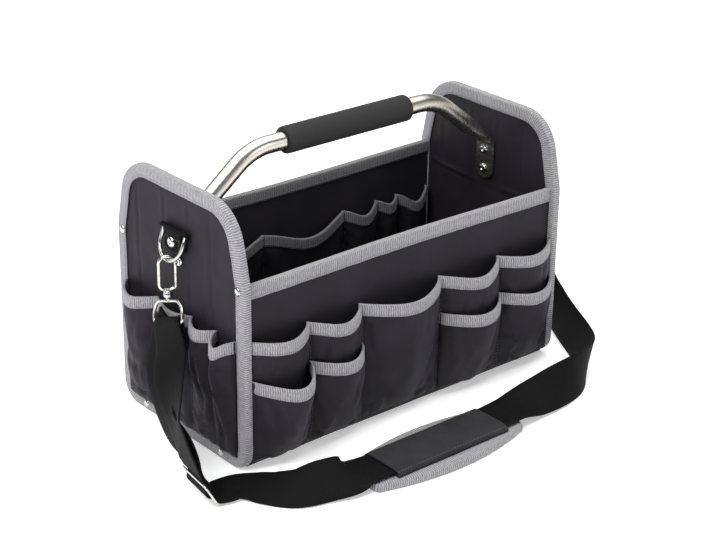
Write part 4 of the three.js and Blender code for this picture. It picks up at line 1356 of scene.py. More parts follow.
END_BAYS = (Bay(-1, -0.67, 0.13, 0.06), Bay(-0.67, -0.23, 0.09, 0.02),
            Bay(-0.23, 0.41, 0.05, 0.02), Bay(0.41, 1, 0.13, 0.03))
END_CREASES = (
    Crease(-0.95, 0.1, 0.0, 0.6, 4, 3.4), Crease(-0.78, 0.04, 0.0, 1.0, 7, 3.0),
    Crease(-0.7, -0.35, 0.0, 0.3, 4, 3.0), Crease(-0.59, 0.0, 0.0, 1.0, 6, 2.8),
    Crease(-0.627, 0.12, 0.55, 1.1, 4, 2.6), Crease(-0.43, 0.0, 0.0, 1.1, 7, 2.6),
    Crease(-0.28, 0.0, 0.0, 1.0, 5, 2.6), Crease(-0.1, 0.02, 0.0, 1.0, 8, 2.6),
    Crease(0.12, 0.0, 0.0, 0.8, 8, 1.8), Crease(0.32, -0.03, 0.0, 1.0, 8, 2.6),
    Crease(0.52, 0.03, 0.0, 1.0, 8, 3.0), Crease(0.78, -0.03, 0.0, 0.8, 9, 2.8),
    Crease(0.93, -0.04, 0.0, 0.7, 5, 2.6))

LEFT_END = PocketRow("left_end", FACES["left"], BAG.end_clear_z, 133.0, BAG.lift, 0.7,
                     END_BAYS, END_CREASES, ripples=1.2)
RIGHT_END = PocketRow("right_end", FACES["right"], BAG.end_clear_z, 133.0, BAG.lift, 0.7,
                      END_BAYS, END_CREASES, ripples=1.2)
INNER = PocketRow(
    "inner", FACES["inside"], BAG.base_wall + 18, 136.0, BAG.lift, 0.5,
    (Bay(-0.98, -0.2, 0.16, 0.11), Bay(-0.2, 0.36, 0.13, 0.1), Bay(0.36, 0.6, 0.1, 0.07),
     Bay(0.6, 0.75, 0.08, 0.04), Bay(0.75, 0.98, 0.1, 0.09)),
    (Crease(-0.9, 0.1, 0.0, 0.8, 6, 2.4), Crease(-0.6, 0.05, 0.0, 0.5, 9, 2.0),
     Crease(-0.28, -0.12, 0.0, 0.9, 6, 2.6), Crease(-0.12, 0.1, 0.0, 0.8, 5, 2.4),
     Crease(0.28, -0.1, 0.0, 0.8, 6, 2.4), Crease(0.42, 0.08, 0.0, 0.8, 4, 1.8)),
    dark=True, cloths=THREE_CLOTHS)
POCKET_ROWS = (FRONT_UPPER, FRONT_LOWER_LEFT, FRONT_LOWER_RIGHT, BACK, LEFT_END, RIGHT_END,
               INNER)


@dataclass
class Pockets:
    """All pocket strips and their bindings."""

    finishes: Finishes
    needlework: Needlework
    pitch: float = 2.6
    levels: int = 40
    slack: float = 0.05
    steps: int = 16
    most: float = 3.2
    inward_held: float = 0.65
    stitch_gauge: float = 1.1

    def cloth_lattice(self, row: PocketRow) -> np.ndarray:
        """Middle surface of a strip.

        Args:
            row: the strip.

        Returns:
            Points as [place along][level][xyz].
        """
        rows = []
        for s, top in row.stations(self.pitch):
            heights = row.bottom + (top - row.bottom) * np.linspace(0, 1, self.levels)
            rows.append([row.face.place(s, z, row.stand_off(s, z)) for z in heights])
        return np.array(rows)

    def drape(self, pieces: list[tuple[bpy.types.Object, PocketRow]]) -> None:
        """Let the strips' cloth buckle and sag between their sewn lines.

        Args:
            pieces: the middle surfaces, still open, with their rows.
        """
        rest = {}
        for piece, row in pieces:
            count = len(piece.data.vertices) // self.levels
            places = [s for s, _ in row.stations(self.pitch)]
            seams = {round(b.start * row.face.half, 3) for b in row.bays}
            seams |= {round(b.end * row.face.half, 3) for b in row.bays}
            held = []
            for i in range(count):
                sewn = round(places[i], 3) in seams
                for j in range(self.levels):
                    if sewn or j < 2 or j > 0.84 * self.levels:
                        held.append(i * self.levels + j)
            group = piece.vertex_groups.new(name="sewn")
            group.add(held, 1.0, "REPLACE")
            rest[piece.name] = coordinates(piece.data)
            work = piece.modifiers.new("drape", "CLOTH")
            cloth = work.settings
            cloth.quality = 5
            cloth.mass = 0.25
            cloth.vertex_group_mass = "sewn"
            cloth.shrink_min = -self.slack
            cloth.shrink_max = -self.slack
            cloth.tension_stiffness = 30
            cloth.compression_stiffness = 30
            cloth.bending_stiffness = 0.6
            work.collision_settings.use_collision = False
            work.point_cache.frame_start = 1
            work.point_cache.frame_end = self.steps
        run_cloth(self.steps)
        for piece, row in pieces:
            settle(piece)
            out = vec(*row.face.out)
            move = capped(coordinates(piece.data) - rest[piece.name], self.most)
            move -= np.minimum(move @ out, 0)[:, None] * out * self.inward_held
            shift(piece, rest[piece.name] + move)
        bpy.context.scene.frame_set(1)

    def binding(self, row: PocketRow) -> bpy.types.Object:
        """Tape over a strip's top edge.

        Args:
            row: the strip.

        Returns:
            The tape.
        """
        stations = []
        drop = BAG.pocket_tape_drop
        out = vec(*row.face.out)
        places = row.stations(1.6)
        for s, top in places:
            edge = row.face.place(s, top, row.stand_off(s, top, False))
            foot = row.face.place(s, top - drop, row.stand_off(s, top - drop, False))
            stations.append(TapeStation(edge, out, (foot - edge) / drop))
        self.needlework.sew_tape(stations, BAG.cloth, drop - POCKET_STITCH_INSET)
        return bind_edge(f"{row.name}_binding", stations, BAG.cloth, drop, seed=row.top)

    def seam_lines(self, row: PocketRow) -> None:
        """Sew the strip down between its bays.

        Args:
            row: the strip.
        """
        off = BAG.cloth / 2 + 0.12
        for share in sorted({b.start for b in row.bays[1:]}):
            for aside in (-self.stitch_gauge, self.stitch_gauge):
                s = share * row.face.half + aside
                self.needlework.sew([row.face.place(s, z, row.stand_off(s, z) + off)
                                     for z in np.arange(row.bottom + 1,
                                                        row.top - BAG.pocket_tape_drop, 3.0)])

    def build(self) -> None:
        """Make every strip and binding."""
        soft = []
        for row in POCKET_ROWS:
            piece = lattice(f"{row.name}_cloth", self.cloth_lattice(row))
            soft.append((piece, row))
        self.drape(soft)
        for piece, row in soft:
            thicken(piece, BAG.cloth)
            material = self.finishes.lining if row.dark else self.finishes.cloth
            dress(piece, material,
                  stands_for=[f"{row.name}{part}_pockets" for part in row.cloths])
            tape = self.finishes.dark_tape if row.dark else self.finishes.tape
            dress(self.binding(row), tape,
                  stands_for=[f"{row.name}_pocket_binding"])
            self.seam_lines(row)


# Walls and end panels

@dataclass
class Shell:
    """Base, long walls, end panels and their bindings."""

    finishes: Finishes
    needlework: Needlework
    steps: int = 96
    levels: int = 44
    rim_steps: int = 260
    flutes: tuple[float, ...] = (-50.0, -16.0, 22.0, 67.0)
    flute_width: float = 1.6
    inner_seam: float = 164.5
    most_relief: float = 1.9
    panel_middle: float = 130.0

    def wall_middle(self, side: int, x: float, z: float) -> float:
        """Y of a long wall's middle surface, with its faint dents.

        Args:
            side: -1 for the front, 1 for the back.
            x: place along the bag.
            z: height.

        Returns:
            The y in mm.
        """
        dent = 0.7 * waviness(x, 0, z, 60.0, 3.0 + side) + 0.3 * waviness(x, 0, z, 22.0, 9.0)
        free = smoothstep(BAG.seated_end - abs(x), 0, 25) * smoothstep(z, 20, 60)
        free *= smoothstep(BAG.wall_top - z, 8, 26)
        return side * (BAG.face_y - BAG.wall / 2 - bow_at(x, z) + dent * free)

    def long_wall(self, side: int, name: str) -> None:
        """Make a long wall and its rim binding.

        Args:
            side: -1 for the front, 1 for the back.
            name: front or back.
        """
        rows = []
        for x in np.linspace(-BAG.seated_end, BAG.seated_end, self.steps + 1):
            heights = np.linspace(BAG.wall_bottom, BAG.wall_top, self.levels + 1)
            rows.append([vec(x, self.wall_middle(side, x, z), z) for z in heights])
        wall = thicken(lattice(f"{name}_wall", np.array(rows)), BAG.wall)
        dress(wall, self.finishes.cloth, stands_for=[f"{name}_panel"])
        stations = []
        drop = BAG.rim_tape_drop
        for x in np.linspace(-BAG.seated_end, BAG.seated_end, self.rim_steps):
            top = vec(x, side * (BAG.face_y - BAG.wall / 2 - bow_at(x, BAG.wall_top)),
                      BAG.wall_top)
            low = BAG.wall_top - drop
            foot = vec(x, side * (BAG.face_y - BAG.wall / 2 - bow_at(x, low)), low)
            stations.append(TapeStation(top, vec(0, side, 0), (foot - top) / drop))
        self.needlework.sew_tape(stations, BAG.wall, drop - RIM_STITCH_INSET)
        rim = bind_edge(f"{name}_rim_tape", stations, BAG.wall, drop, seed=3.0 + side)
        # Painted shade: the back rim takes the darker tape because its inner face, the one in
        # view, lies in shade.
        tape = self.finishes.tape if side < 0 else self.finishes.dark_tape
        dress(rim, tape, stands_for=[f"{name}_rim_binding"])

    def base(self) -> None:
        """Make the base, turned up at its long edges."""
        flat = BAG.face_y - BAG.base_edge_radius
        radius, thick = BAG.base_edge_radius, BAG.base_wall
        outer, inner = [], []
        for k in range(9):
            a = -math.pi / 2 + (math.pi / 2) * k / 8
            outer.append((flat + radius * math.cos(a), radius + radius * math.sin(a)))
            inner.append((flat + (radius - thick) * math.cos(a),
                          radius + (radius - thick) * math.sin(a)))
        level = [(y, 0.0) for y in np.linspace(-flat, flat, 30)[1:-1]]
        outside = [(-y, z) for y, z in reversed(outer)] + level + outer
        within = [(-y, z) for y, z in reversed(inner)]
        within += [(y, thick) for y, _ in level] + inner
        ring = outside + within[::-1]
        rows = []
        for x in np.linspace(-BAG.seated_end, BAG.seated_end, 60):
            rows.append([vec(x, y, z + (0.5 * waviness(x, y, 0, 50.0, 4.0) if 1 < z < 6 else 0))
                         for y, z in ring])
        base = lattice("base_cloth", np.array(rows), wrap_ring=True, caps=True)
        dress(base, self.finishes.cloth, stands_for=["base_panel"])

    def outline(self, step: float = 3.0) -> np.ndarray:
        """An end panel's outline under its tape, anticlockwise from the bottom left.

        Args:
            step: spacing in mm.

        Returns:
            Pairs of y and z.
        """
        half = BAG.width / 2 - BAG.tape_stack
        top, bottom = BAG.end_height - BAG.tape_stack, BAG.tape_stack
        foot, radius = BAG.end_foot_radius, BAG.end_top_radius
        lean = math.atan(BAG.end_shoulder / (BAG.end_height - BAG.rim_height))
        corner = half - BAG.end_shoulder
        tangent = radius * math.tan((math.pi / 2 - lean) / 2)
        right = [(0.0, bottom), (half - foot, bottom)]
        right += [(half - foot + foot * math.cos(a), bottom + foot + foot * math.sin(a))
                  for a in np.linspace(-math.pi / 2, 0, 13)[1:]]
        right.append((half, BAG.rim_height))
        right += [(corner - tangent + radius * math.cos(a), top - radius + radius * math.sin(a))
                  for a in np.linspace(lean, math.pi / 2, 17)]
        right.append((0.0, top))
        loop = np.array(right + [(-y, z) for y, z in right[-2:0:-1]])
        closed = np.vstack([loop, loop[:1]])
        length = np.concatenate([[0], np.cumsum(np.linalg.norm(np.diff(closed, axis=0), axis=1))])
        marks = np.linspace(0, length[-1], round(length[-1] / step), endpoint=False)
        return np.stack([np.interp(marks, length, closed[:, k]) for k in (0, 1)], axis=1)

    def panel_relief(self, y: float, z: float, inside: bool) -> float:
        """Outward relief of an end panel's face.

        Args:
            y: place across the panel.
            z: height.
            inside: the face that looks into the bag.

        Returns:
            The relief in mm.
        """
        soft = 0.8 * waviness(y, z * 0.3, 0, 24.0, 2.0) + 0.35 * waviness(y, z, 0, 14.0, 6.0)
        for line in self.flutes:
            lean = 0.02 * (z - 180)
            soft -= 0.9 * math.exp(-(((y - line - lean) / self.flute_width) ** 2))
            soft += 0.4 * math.exp(-(((y - line - 4.5) / 3.5) ** 2))
        if inside:
            seam = self.inner_seam + 0.0006 * y * y
            soft += 1.6 * math.exp(-(((z - seam) / 1.8) ** 2))
            soft -= 0.8 * math.exp(-(((z - seam + 4) / 1.6) ** 2))
        return min(soft, self.most_relief)

    def end_panel(self, side: int, name: str) -> None:
        """Make an end panel with its tape.

        Args:
            side: -1 for the left end, 1 for the right.
            name: left or right.
        """
        loop = self.outline()
        middle = vec(0, self.panel_middle)
        shares = np.concatenate([np.linspace(0.02, 0.94, 40), [0.97, 0.985]])
        x0 = side * (BAG.length / 2 - BAG.end_wall / 2)
        half = BAG.end_wall / 2
        rings = []
        for face in (1, -1):
            band = []
            for share in shares:
                ring = []
                for y, z in middle + (loop - middle) * share:
                    edge = min(BAG.width / 2 - 12 - abs(y), BAG.end_height - 14 - z, z - 14)
                    calm = smoothstep(edge, 0, 12)
                    near = math.hypot(y, z - (BAG.bolt_height + 10))
                    calm *= smoothstep(near, 24, 48)
                    relief = 0.0 if calm <= 0 else calm * self.panel_relief(y, z, face < 0)
                    ring.append(vec(x0 + side * face * (half + relief - 0.25), y, z))
                band.append(ring)
            rings += band if face > 0 else band[::-1]
            if face > 0:
                rings.append([vec(x0, y, z) for y, z in loop])
        panel = lattice(f"{name}_end_board", np.array(rings), wrap_ring=True, caps=True)
        map_axes(panel, 1, 2)
        dress(panel, self.finishes.cloth, stands_for=[f"{name}_end_panel"])
        nxt, prev = np.roll(loop, -1, axis=0), np.roll(loop, 1, axis=0)
        along = unit(nxt - prev)
        stations = [TapeStation(vec(x0, *p), vec(side, 0, 0), vec(0, -d[1], d[0]))
                    for p, d in zip(loop, along)]
        drop = BAG.end_tape_drop
        self.needlework.sew_tape(stations, BAG.end_wall, drop - RIM_STITCH_INSET, closed=True)
        tape = bind_edge(f"{name}_end_tape", stations, BAG.end_wall, drop, True, 5.0 + side)
        dress(tape, self.finishes.tape, stands_for=[f"{name}_end_binding"])

    def build(self) -> None:
        """Make the whole shell."""
        self.base()
        self.long_wall(-1, "front")
        self.long_wall(1, "back")
        self.end_panel(-1, "left")
        self.end_panel(1, "right")


# Handle

@dataclass
class Handle:
    """Bent tube with ends pressed flat, and its foam grip."""

    finishes: Finishes
    radius: float = 9.0
    height: float = 274.0
    straight: float = 190.0
    bend_radius: float = 62.0
    slope: float = math.radians(41)
    plate_width: float = 25.0
    below_bolt: float = 11.0
    above_bolt: float = 11.0
    flattened_run: float = 38.0
    grip_length: float = 155.0
    grip_radius: float = 13.5
    grip_edge: float = 2.5

    def half_line(self) -> list[np.ndarray]:
        """Centre line from the middle of the handle to its right end.

        Returns:
            Its points in mm.
        """
        plate_x = BAG.panel_inner - BAG.gap - BAG.plate_thickness / 2
        top = BAG.bolt_height + BAG.bolt_spacing + self.above_bolt
        bottom = BAG.bolt_height - self.below_bolt
        half = self.straight / 2
        line = [vec(x, 0, self.height) for x in np.linspace(0, half, 12)]
        for k in range(1, 17):
            a = self.slope * k / 16
            line.append(vec(half + self.bend_radius * math.sin(a), 0,
                            self.height - self.bend_radius * (1 - math.cos(a))))
        elbow = vec(plate_x, 0, top)
        end = line[-1]
        line += [end + (elbow - end) * t for t in np.linspace(0, 0.94, 20)[1:]]
        turn = [elbow + (end - elbow) * 0.06, elbow, elbow + vec(0, 0, -4)]
        line += [(1 - t) ** 2 * turn[0] + 2 * t * (1 - t) * turn[1] + t * t * turn[2]
                 for t in (0.25, 0.5, 0.75, 1.0)]
        line += [vec(plate_x, 0, z) for z in np.linspace(top - 7, bottom + 9, 10)]
        line += [vec(plate_x, 0, bottom + 9 * (1 - math.sin(a)))
                 for a in np.linspace(0.25, math.pi / 2, 8)]
        return line

    def tube(self) -> None:
        """Make the tube."""
        half = self.half_line()
        line = np.array([p * vec(-1, 1, 1) for p in half[:0:-1]] + half)
        across = vec(0, 1, 0)
        plate_x = BAG.panel_inner - BAG.gap - BAG.plate_thickness / 2
        top = BAG.bolt_height + BAG.bolt_spacing + self.above_bolt
        bottom = BAG.bolt_height - self.below_bolt
        along = unit(np.gradient(line, axis=0))
        rows = []
        for p, d in zip(line, along):
            up = unit(np.cross(d, across))
            reach = math.hypot(plate_x - abs(p[0]), max(p[2] - top, 0))
            pressed = 1 - smoothstep(reach, 0, self.flattened_run)
            over = min(max((p[2] - bottom) / 9, 0.0), 1.0)
            rounding = math.sqrt(max(1 - (1 - over) ** 2, 0.02)) if reach < 1e-3 else 1.0
            wide = (self.radius + (self.plate_width / 2 - self.radius) * pressed) * rounding
            thick = self.radius + (BAG.plate_thickness / 2 - self.radius) * pressed
            rows.append(ring_section(p, across, up, wide, thick, 32, 2 + 3 * pressed))
        tube = lattice("handle_tube_steel", np.array(rows), wrap_ring=True, caps=True)
        dress(tube, self.finishes.steel, stands_for=["handle_tube"])

    def grip(self) -> None:
        """Make the foam grip, a little uneven and rounded at its ends."""
        half, bore, r, edge = (self.grip_length / 2, self.radius + BAG.gap, self.grip_radius,
                               self.grip_edge)
        profile = [(bore, -half + 0.6), (bore + 0.8, -half)]
        profile += [(r - edge + edge * math.sin(a), -half + edge - edge * math.cos(a))
                    for a in np.linspace(0.1, math.pi / 2, 7)]
        profile += [(r + 0.15 * waviness(x, 0, 0, 20, 1), x)
                    for x in np.linspace(-half + 6, half - 6, 40)]
        profile += [(r - edge + edge * math.cos(a), half - edge + edge * math.sin(a))
                    for a in np.linspace(0, math.pi / 2 - 0.1, 7)]
        profile += [(bore + 0.8, half), (bore, half - 0.6)]
        grip = turned("grip_foam_sleeve", profile, vec(0, 0, self.height), vec(1, 0, 0),
                      vec(0, 1, 0), 40)
        dress(grip, self.finishes.foam, stands_for=["foam_grip"])

    def build(self) -> None:
        """Make the handle."""
        self.tube()
        self.grip()


# End hardware

@dataclass
class Fittings:
    """Bolts, rivets, ring tabs, D-rings, snap hooks and swivel loops at both ends."""

    finishes: Finishes
    needlework: Needlework
    head_radius: float = 5.5
    head_rise: float = 2.6
    shank_radius: float = 2.5
    rivet_radius: float = 4.2
    rivet_rise: float = 2.0
    rivet_shank: float = 1.8
    rivet_depth: float = 4.0
    wire: float = 1.8
    ring_width: float = 38.0
    ring_drop: float = 30.0
    ring_swing: float = math.radians(20)
    tab_width: float = 41.0
    tongue_width: float = 28.0
    tab_length: float = 26.0
    tab_layer: float = 1.6
    eye_width: float = 12.0
    eye_height: float = 30.0
    hook_wire: float = 3.4
    hook_yaw: float = math.radians(30)
    hook_nose: float = 6.0
    hook_corner: float = 5.0
    gate_length: float = 17.0
    gate_wire: float = 2.8
    barrel_radius: float = 4.5
    barrel_height: float = 8.0
    post_radius: float = 2.2
    loop_height: float = 20.0
    loop_corner: float = 3.5
    loop_shoulder: float = 12.0
    loop_neck: float = 2.4
    loop_post: float = 8.5
    loop_wire: float = 1.6
    loop_roll: float = math.radians(20)
    loop_lean: float = math.radians(15)
    rivet_places: tuple[tuple[float, float], ...] = ((-0.91, 185.0), (0.91, 185.0),
                                                     (-0.61, 7.5), (0.61, 7.5))

    def __post_init__(self) -> None:
        """Work out the places that follow from the sizes."""
        self.tab_back = BAG.length / 2 + BAG.gap + self.tab_layer / 2
        self.ring_x = self.tab_back + self.tab_layer / 2 + BAG.gap + self.wire
        self.tab_front = self.ring_x + self.wire + BAG.gap + self.tab_layer / 2
        self.ring_z = BAG.bolt_height + BAG.bolt_spacing + 10
        self.tab_bottom = self.ring_z + self.wire + self.tab_layer + BAG.gap - self.tab_length
        self.half_eye = self.eye_width / 2 + self.hook_wire / 2
        self.pivot_down = self.hook_nose + BAG.gap + self.gate_wire / 2 + self.gate_length
        self.barrel_down = self.eye_height + self.hook_wire / 2
        self.loop_down = self.barrel_down + self.barrel_height + self.loop_neck + self.loop_wire
        self.loop_half = BAG.webbing / 2 + BAG.gap + self.loop_corner

    def ring_point(self, side: int, y: float, down: float) -> np.ndarray:
        """A point in the D-ring's plane.

        Args:
            side: which end.
            y: place across.
            down: distance from its straight bar.

        Returns:
            The point.
        """
        return vec(side * (self.ring_x + down * math.sin(self.ring_swing)), y,
                   self.ring_z - down * math.cos(self.ring_swing))

    def hook_point(self, side: int, over: float, down: float) -> np.ndarray:
        """A point in the hook's plane.

        Args:
            side: which end.
            over: distance across the eye.
            down: distance below the hook's seat on the ring.

        Returns:
            The point.
        """
        low = self.ring_point(side, 0, self.ring_drop - self.wire)
        seat = vec(low[0], 0, low[2] + self.wire + BAG.gap)
        return seat + over * vec(side * math.cos(self.hook_yaw), math.sin(self.hook_yaw), 0) \
            + vec(0, 0, -down)

    def hook_normal(self, side: int) -> np.ndarray:
        """Normal of the hook's plane.

        Args:
            side: which end.

        Returns:
            The unit normal.
        """
        return vec(-math.sin(self.hook_yaw), side * math.cos(self.hook_yaw), 0)

    def loop_point(self, side: int, across: float, down: float) -> np.ndarray:
        """A point in the swivel loop's plane.

        Args:
            side: which end.
            across: distance across the loop.
            down: distance below its top bar.

        Returns:
            The point.
        """
        top = self.hook_point(side, 0, self.loop_down)
        c, s = math.cos(self.loop_roll), -side * math.sin(self.loop_roll)
        low = down * math.cos(self.loop_lean)
        return top + vec(side * down * math.sin(self.loop_lean), across * c - low * s,
                         -across * s - low * c)

    def d_ring(self, side: int, name: str) -> None:
        """Make a D-ring.

        Args:
            side: which end.
            name: left or right.
        """
        half = self.ring_width / 2 - self.wire
        points = [self.ring_point(side, y, 0) for y in np.linspace(half, -half, 16)]
        for a in np.linspace(0, math.pi, 41):
            down = self.ring_drop - half - self.wire + half * math.sin(a)
            points.append(self.ring_point(side, -half * math.cos(a), down))
        normal = vec(math.cos(self.ring_swing), 0, side * math.sin(self.ring_swing))
        ring = rod(f"{name}_ring_wire", points, normal, self.wire, True)
        dress(ring, self.finishes.chrome, stands_for=[f"{name}_d_ring"])

    def hook(self, side: int, name: str, gate_body: Body) -> None:
        """Make a snap hook's body and its gate.

        Args:
            side: which end.
            name: left or right.
            gate_body: the body the gate rides on.
        """
        r, w = self.half_eye, self.hook_wire / 2
        normal = self.hook_normal(side)
        path = [self.hook_point(side, -r, self.hook_nose)]
        path += [self.hook_point(side, -r, self.hook_nose * t) for t in (0.75, 0.5)]
        path += [self.hook_point(side, r * math.cos(a), (r - w) - r * math.sin(a))
                 for a in np.linspace(math.pi, 0, 25)]
        path += [self.hook_point(side, r, z) for z in np.linspace(
            r, self.eye_height + w - self.hook_corner, 8)[1:]]
        corner = self.hook_corner
        path += [self.hook_point(side, r - corner + corner * math.cos(a),
                                 self.eye_height + w - corner + corner * math.sin(a))
                 for a in np.linspace(0.2, math.pi / 2, 7)]
        path += [self.hook_point(side, x, self.eye_height + w)
                 for x in np.linspace(r - corner, -r + corner, 5)[1:]]
        foot = self.pivot_down + self.gate_wire / 2 + BAG.gap
        path += [self.hook_point(side, -r + 1, self.eye_height + w - 1.5),
                 self.hook_point(side, -r, foot + 2.4), self.hook_point(side, -r, foot + w)]
        eye = rod(f"{name}_hook_eye", path, normal, w, sides=16, flat=1.15)
        top = self.hook_point(side, 0, self.barrel_down)
        b = self.barrel_radius
        rings = [(0, 0.2), (b - 1.6, 0.2), (b - 0.5, 0.6), (b, 1.4), (b, 2.2), (b - 0.4, 2.6),
                 (b - 0.4, 3.2), (b, 3.6), (b, self.barrel_height - 1.2),
                 (b - 0.6, self.barrel_height - 0.4), (b - 1.6, self.barrel_height), (0, 8.0)]
        barrel = turned(f"{name}_barrel", rings, top, vec(0, 0, -1), vec(1, 0, 0), 28)
        body = merge(f"{name}_hook_forging", [eye, barrel])
        dress(body, self.finishes.chrome, stands_for=[f"{name}_hook_body"])
        line = [self.hook_point(side, -r, z) for z in np.linspace(
            self.pivot_down + 0.35 * self.gate_wire, self.pivot_down - self.gate_length, 12)]
        bar = rod(f"{name}_gate_bar", line, normal, self.gate_wire / 2, sides=14)
        pin = turned(f"{name}_gate_pin", [(0, -1.75), (0.6, -1.7), (0.8, -1.4), (0.8, 1.4),
                                          (0.6, 1.7), (0, 1.75)],
                     self.hook_point(side, -r, self.pivot_down), normal,
                     vec(0, 0, 1), 14)
        gate = merge(f"{name}_gate_latch", [bar, pin])
        dress(gate, self.finishes.chrome, gate_body, [f"{name}_hook_gate"])

    def swivel_loop(self, side: int, name: str) -> None:
        """Make the loop that holds the webbing, with its swivel post.

        Args:
            side: which end.
            name: left or right.
        """
        corners = ((-1, 0, self.loop_shoulder, 1.0), (1, 0, self.loop_shoulder, 1.5),
                   (1, 1, self.loop_corner, 0.0), (-1, 1, self.loop_corner, 0.5))
        points = []
        for across, down, radius, start in corners:
            for a in np.linspace(math.pi * start, math.pi * (start + 0.5), 9):
                at = (self.loop_height - radius) if down else radius
                points.append(self.loop_point(
                    side, across * (self.loop_half - radius) + radius * math.cos(a),
                    at + radius * math.sin(a)))
        dense = []
        for k, p in enumerate(points):
            q = points[(k + 1) % len(points)]
            far = max(1, round(float(np.linalg.norm(q - p)) / 3))
            dense += [p + (q - p) * t / far for t in range(far)]
        level = self.loop_point(side, 1, 0) - self.loop_point(side, 0, 0)
        steep = self.loop_point(side, 0, 1) - self.loop_point(side, 0, 0)
        normal = unit(np.cross(level, steep))
        ring = rod(f"{name}_loop_wire", dense, normal, self.loop_wire, True, 12)
        top = self.loop_point(side, 0, 0)
        post = turned(f"{name}_post", [(0, -0.6), (3.2, -0.5), (3.3, 0.9), (2.4, 1.5),
                                       (self.post_radius, 2.0),
                                       (self.post_radius, self.loop_post - 0.6),
                                       (0, self.loop_post - 0.5)],
                      top, vec(0, 0, 1), vec(1, 0, 0), 20)
        loop = merge(f"{name}_swivel_eye", [ring, post])
        dress(loop, self.finishes.chrome, stands_for=[f"{name}_swivel_loop"])

    def tab(self, side: int, name: str) -> None:
        """Make the folded webbing tab that holds the D-ring.

        Args:
            side: which end.
            name: left or right.
        """
        across = vec(0, 1, 0)
        turn = (self.tab_front - self.tab_back) / 2
        wide, narrow = self.tab_width, self.tongue_width
        low, shoulder = self.tab_bottom, self.ring_z - 5
        spots = [(self.tab_back, z, self.tongue(z, low, narrow), -1.0, 0.0)
                 for z in np.linspace(low, shoulder - 2, 12)]
        spots += [(self.tab_back, shoulder, wide, -1.0, 0.0)]
        for k in range(25):
            a = math.pi * (1 - k / 24)
            spots.append((self.ring_x + turn * math.cos(a), self.ring_z + turn * math.sin(a),
                          wide if k < 22 else narrow, math.cos(a), math.sin(a)))
        spots += [(self.tab_front, z, self.tongue(z, low, narrow), 1.0, 0.0)
                  for z in np.linspace(self.ring_z - 2, low, 14)]
        rows = []
        for x, z, width, ox, oz in spots:
            at, out = vec(side * x, 0, z), vec(side * ox, 0, oz)
            rows.append(self.strap_section(at, across, out, width, self.tab_layer))
        piece = lattice(f"{name}_tab_webbing", np.array(rows), wrap_ring=True, caps=True)
        dress(piece, self.finishes.webbing, stands_for=[f"{name}_ring_tab"])
        face = side * (self.tab_front + self.tab_layer / 2 + 0.15)
        margin = 2.4
        corner = narrow / 2 - margin
        box = [(-corner, self.ring_z - 6), (-corner, low + 6), (-corner * 0.45, low + margin),
               (corner * 0.45, low + margin), (corner, low + 6), (corner, self.ring_z - 6)]
        self.needlework.sew([vec(face, y, z) for y, z in box + box[:1]])

    def tongue(self, z: float, low: float, narrow: float) -> float:
        """Width of the tab's tapered tongue.

        Args:
            z: height.
            low: its lower end.
            narrow: its full width.

        Returns:
            The width there.
        """
        return narrow * (0.55 + 0.45 * smoothstep(z, low - 1, low + 6))

    @staticmethod
    def strap_section(at: np.ndarray, across: np.ndarray, out: np.ndarray, width: float,
                      thickness: float) -> list[np.ndarray]:
        """Section of a flat strap with soft edges.

        Args:
            at: its middle.
            across: unit direction of its width.
            out: unit direction of its thickness.
            width: in mm.
            thickness: in mm.

        Returns:
            The section's points.
        """
        half, t = width / 2, thickness / 2
        spots = [(a * (half - t * 0.6), t) for a in np.linspace(-1, 1, 11)]
        spots += [(half - t * 0.15, t * 0.6), (half, 0.0), (half - t * 0.15, -t * 0.6)]
        spots += [(a * (half - t * 0.6), -t) for a in np.linspace(1, -1, 11)]
        spots += [(-half + t * 0.15, -t * 0.6), (-half, 0.0), (-half + t * 0.15, t * 0.6)]
        return [at + across * a + out * o for a, o in spots]

    def fasteners(self) -> None:
        """Lay the bolt heads and the rivets with Geometry Nodes."""
        tree = repeat_tree("set_heads", False)
        origin, x, y = vec(0, 0, 0), vec(1, 0, 0), vec(0, 1, 0)
        r, h = self.head_radius, self.head_rise
        length = BAG.end_wall + self.tab_front - BAG.length / 2
        bolt = turned("bolt_head", [(0, h * 0.35), (r * 0.24, h * 0.35), (r * 0.32, h * 0.9),
                                    (r * 0.42, h), (r * 0.7, h * 0.86), (r * 0.92, h * 0.5),
                                    (r, h * 0.15), (r, 0), (self.shank_radius, 0),
                                    (self.shank_radius, -length / 2), (0, -length / 2)],
                      origin, x, y, 28)
        r2, h2 = self.rivet_radius, self.rivet_rise
        rivet = turned("rivet_head", [(0, h2), (r2 * 0.3, h2 * 0.96), (r2 * 0.65, h2 * 0.8),
                                      (r2 * 0.9, h2 * 0.45), (r2, h2 * 0.1), (r2, 0),
                                      (self.rivet_shank, 0),
                                      (self.rivet_shank, -self.rivet_depth),
                                      (0, -self.rivet_depth)], origin, x, y, 24)
        plate = BAG.panel_inner - BAG.gap - (BAG.plate_thickness + BAG.gap)
        upper, lower = BAG.bolt_height + BAG.bolt_spacing, BAG.bolt_height
        for side, name in ((-1, "left"), (1, "right")):
            faces = ((upper, self.tab_front + self.tab_layer / 2 + BAG.gap, "upper"),
                     (lower, BAG.length / 2 + BAG.gap, "lower"))
            for z, outer, which in faces:
                places = np.array([vec(side * outer, 0, z), vec(side * plate, 0, z)])
                aims = np.array([vec(side, 0, 0), vec(-side, 0, 0)])
                piece = repeat(f"{name}_{which}_bolt_pair", tree, places, [], bolt,
                               self.finishes.chrome, aims=aims)
                dress(piece, self.finishes.chrome,
                      stands_for=[f"{name}_{which}_bolt"])
            x0 = side * (BAG.length / 2 + BAG.tape_stack + BAG.gap)
            places = np.array([vec(x0, share * BAG.width / 2, z)
                               for share, z in self.rivet_places])
            piece = repeat(f"{name}_rivet_set", tree, places, [], rivet, self.finishes.chrome,
                           aims=np.array([vec(side, 0, 0)] * len(places)))
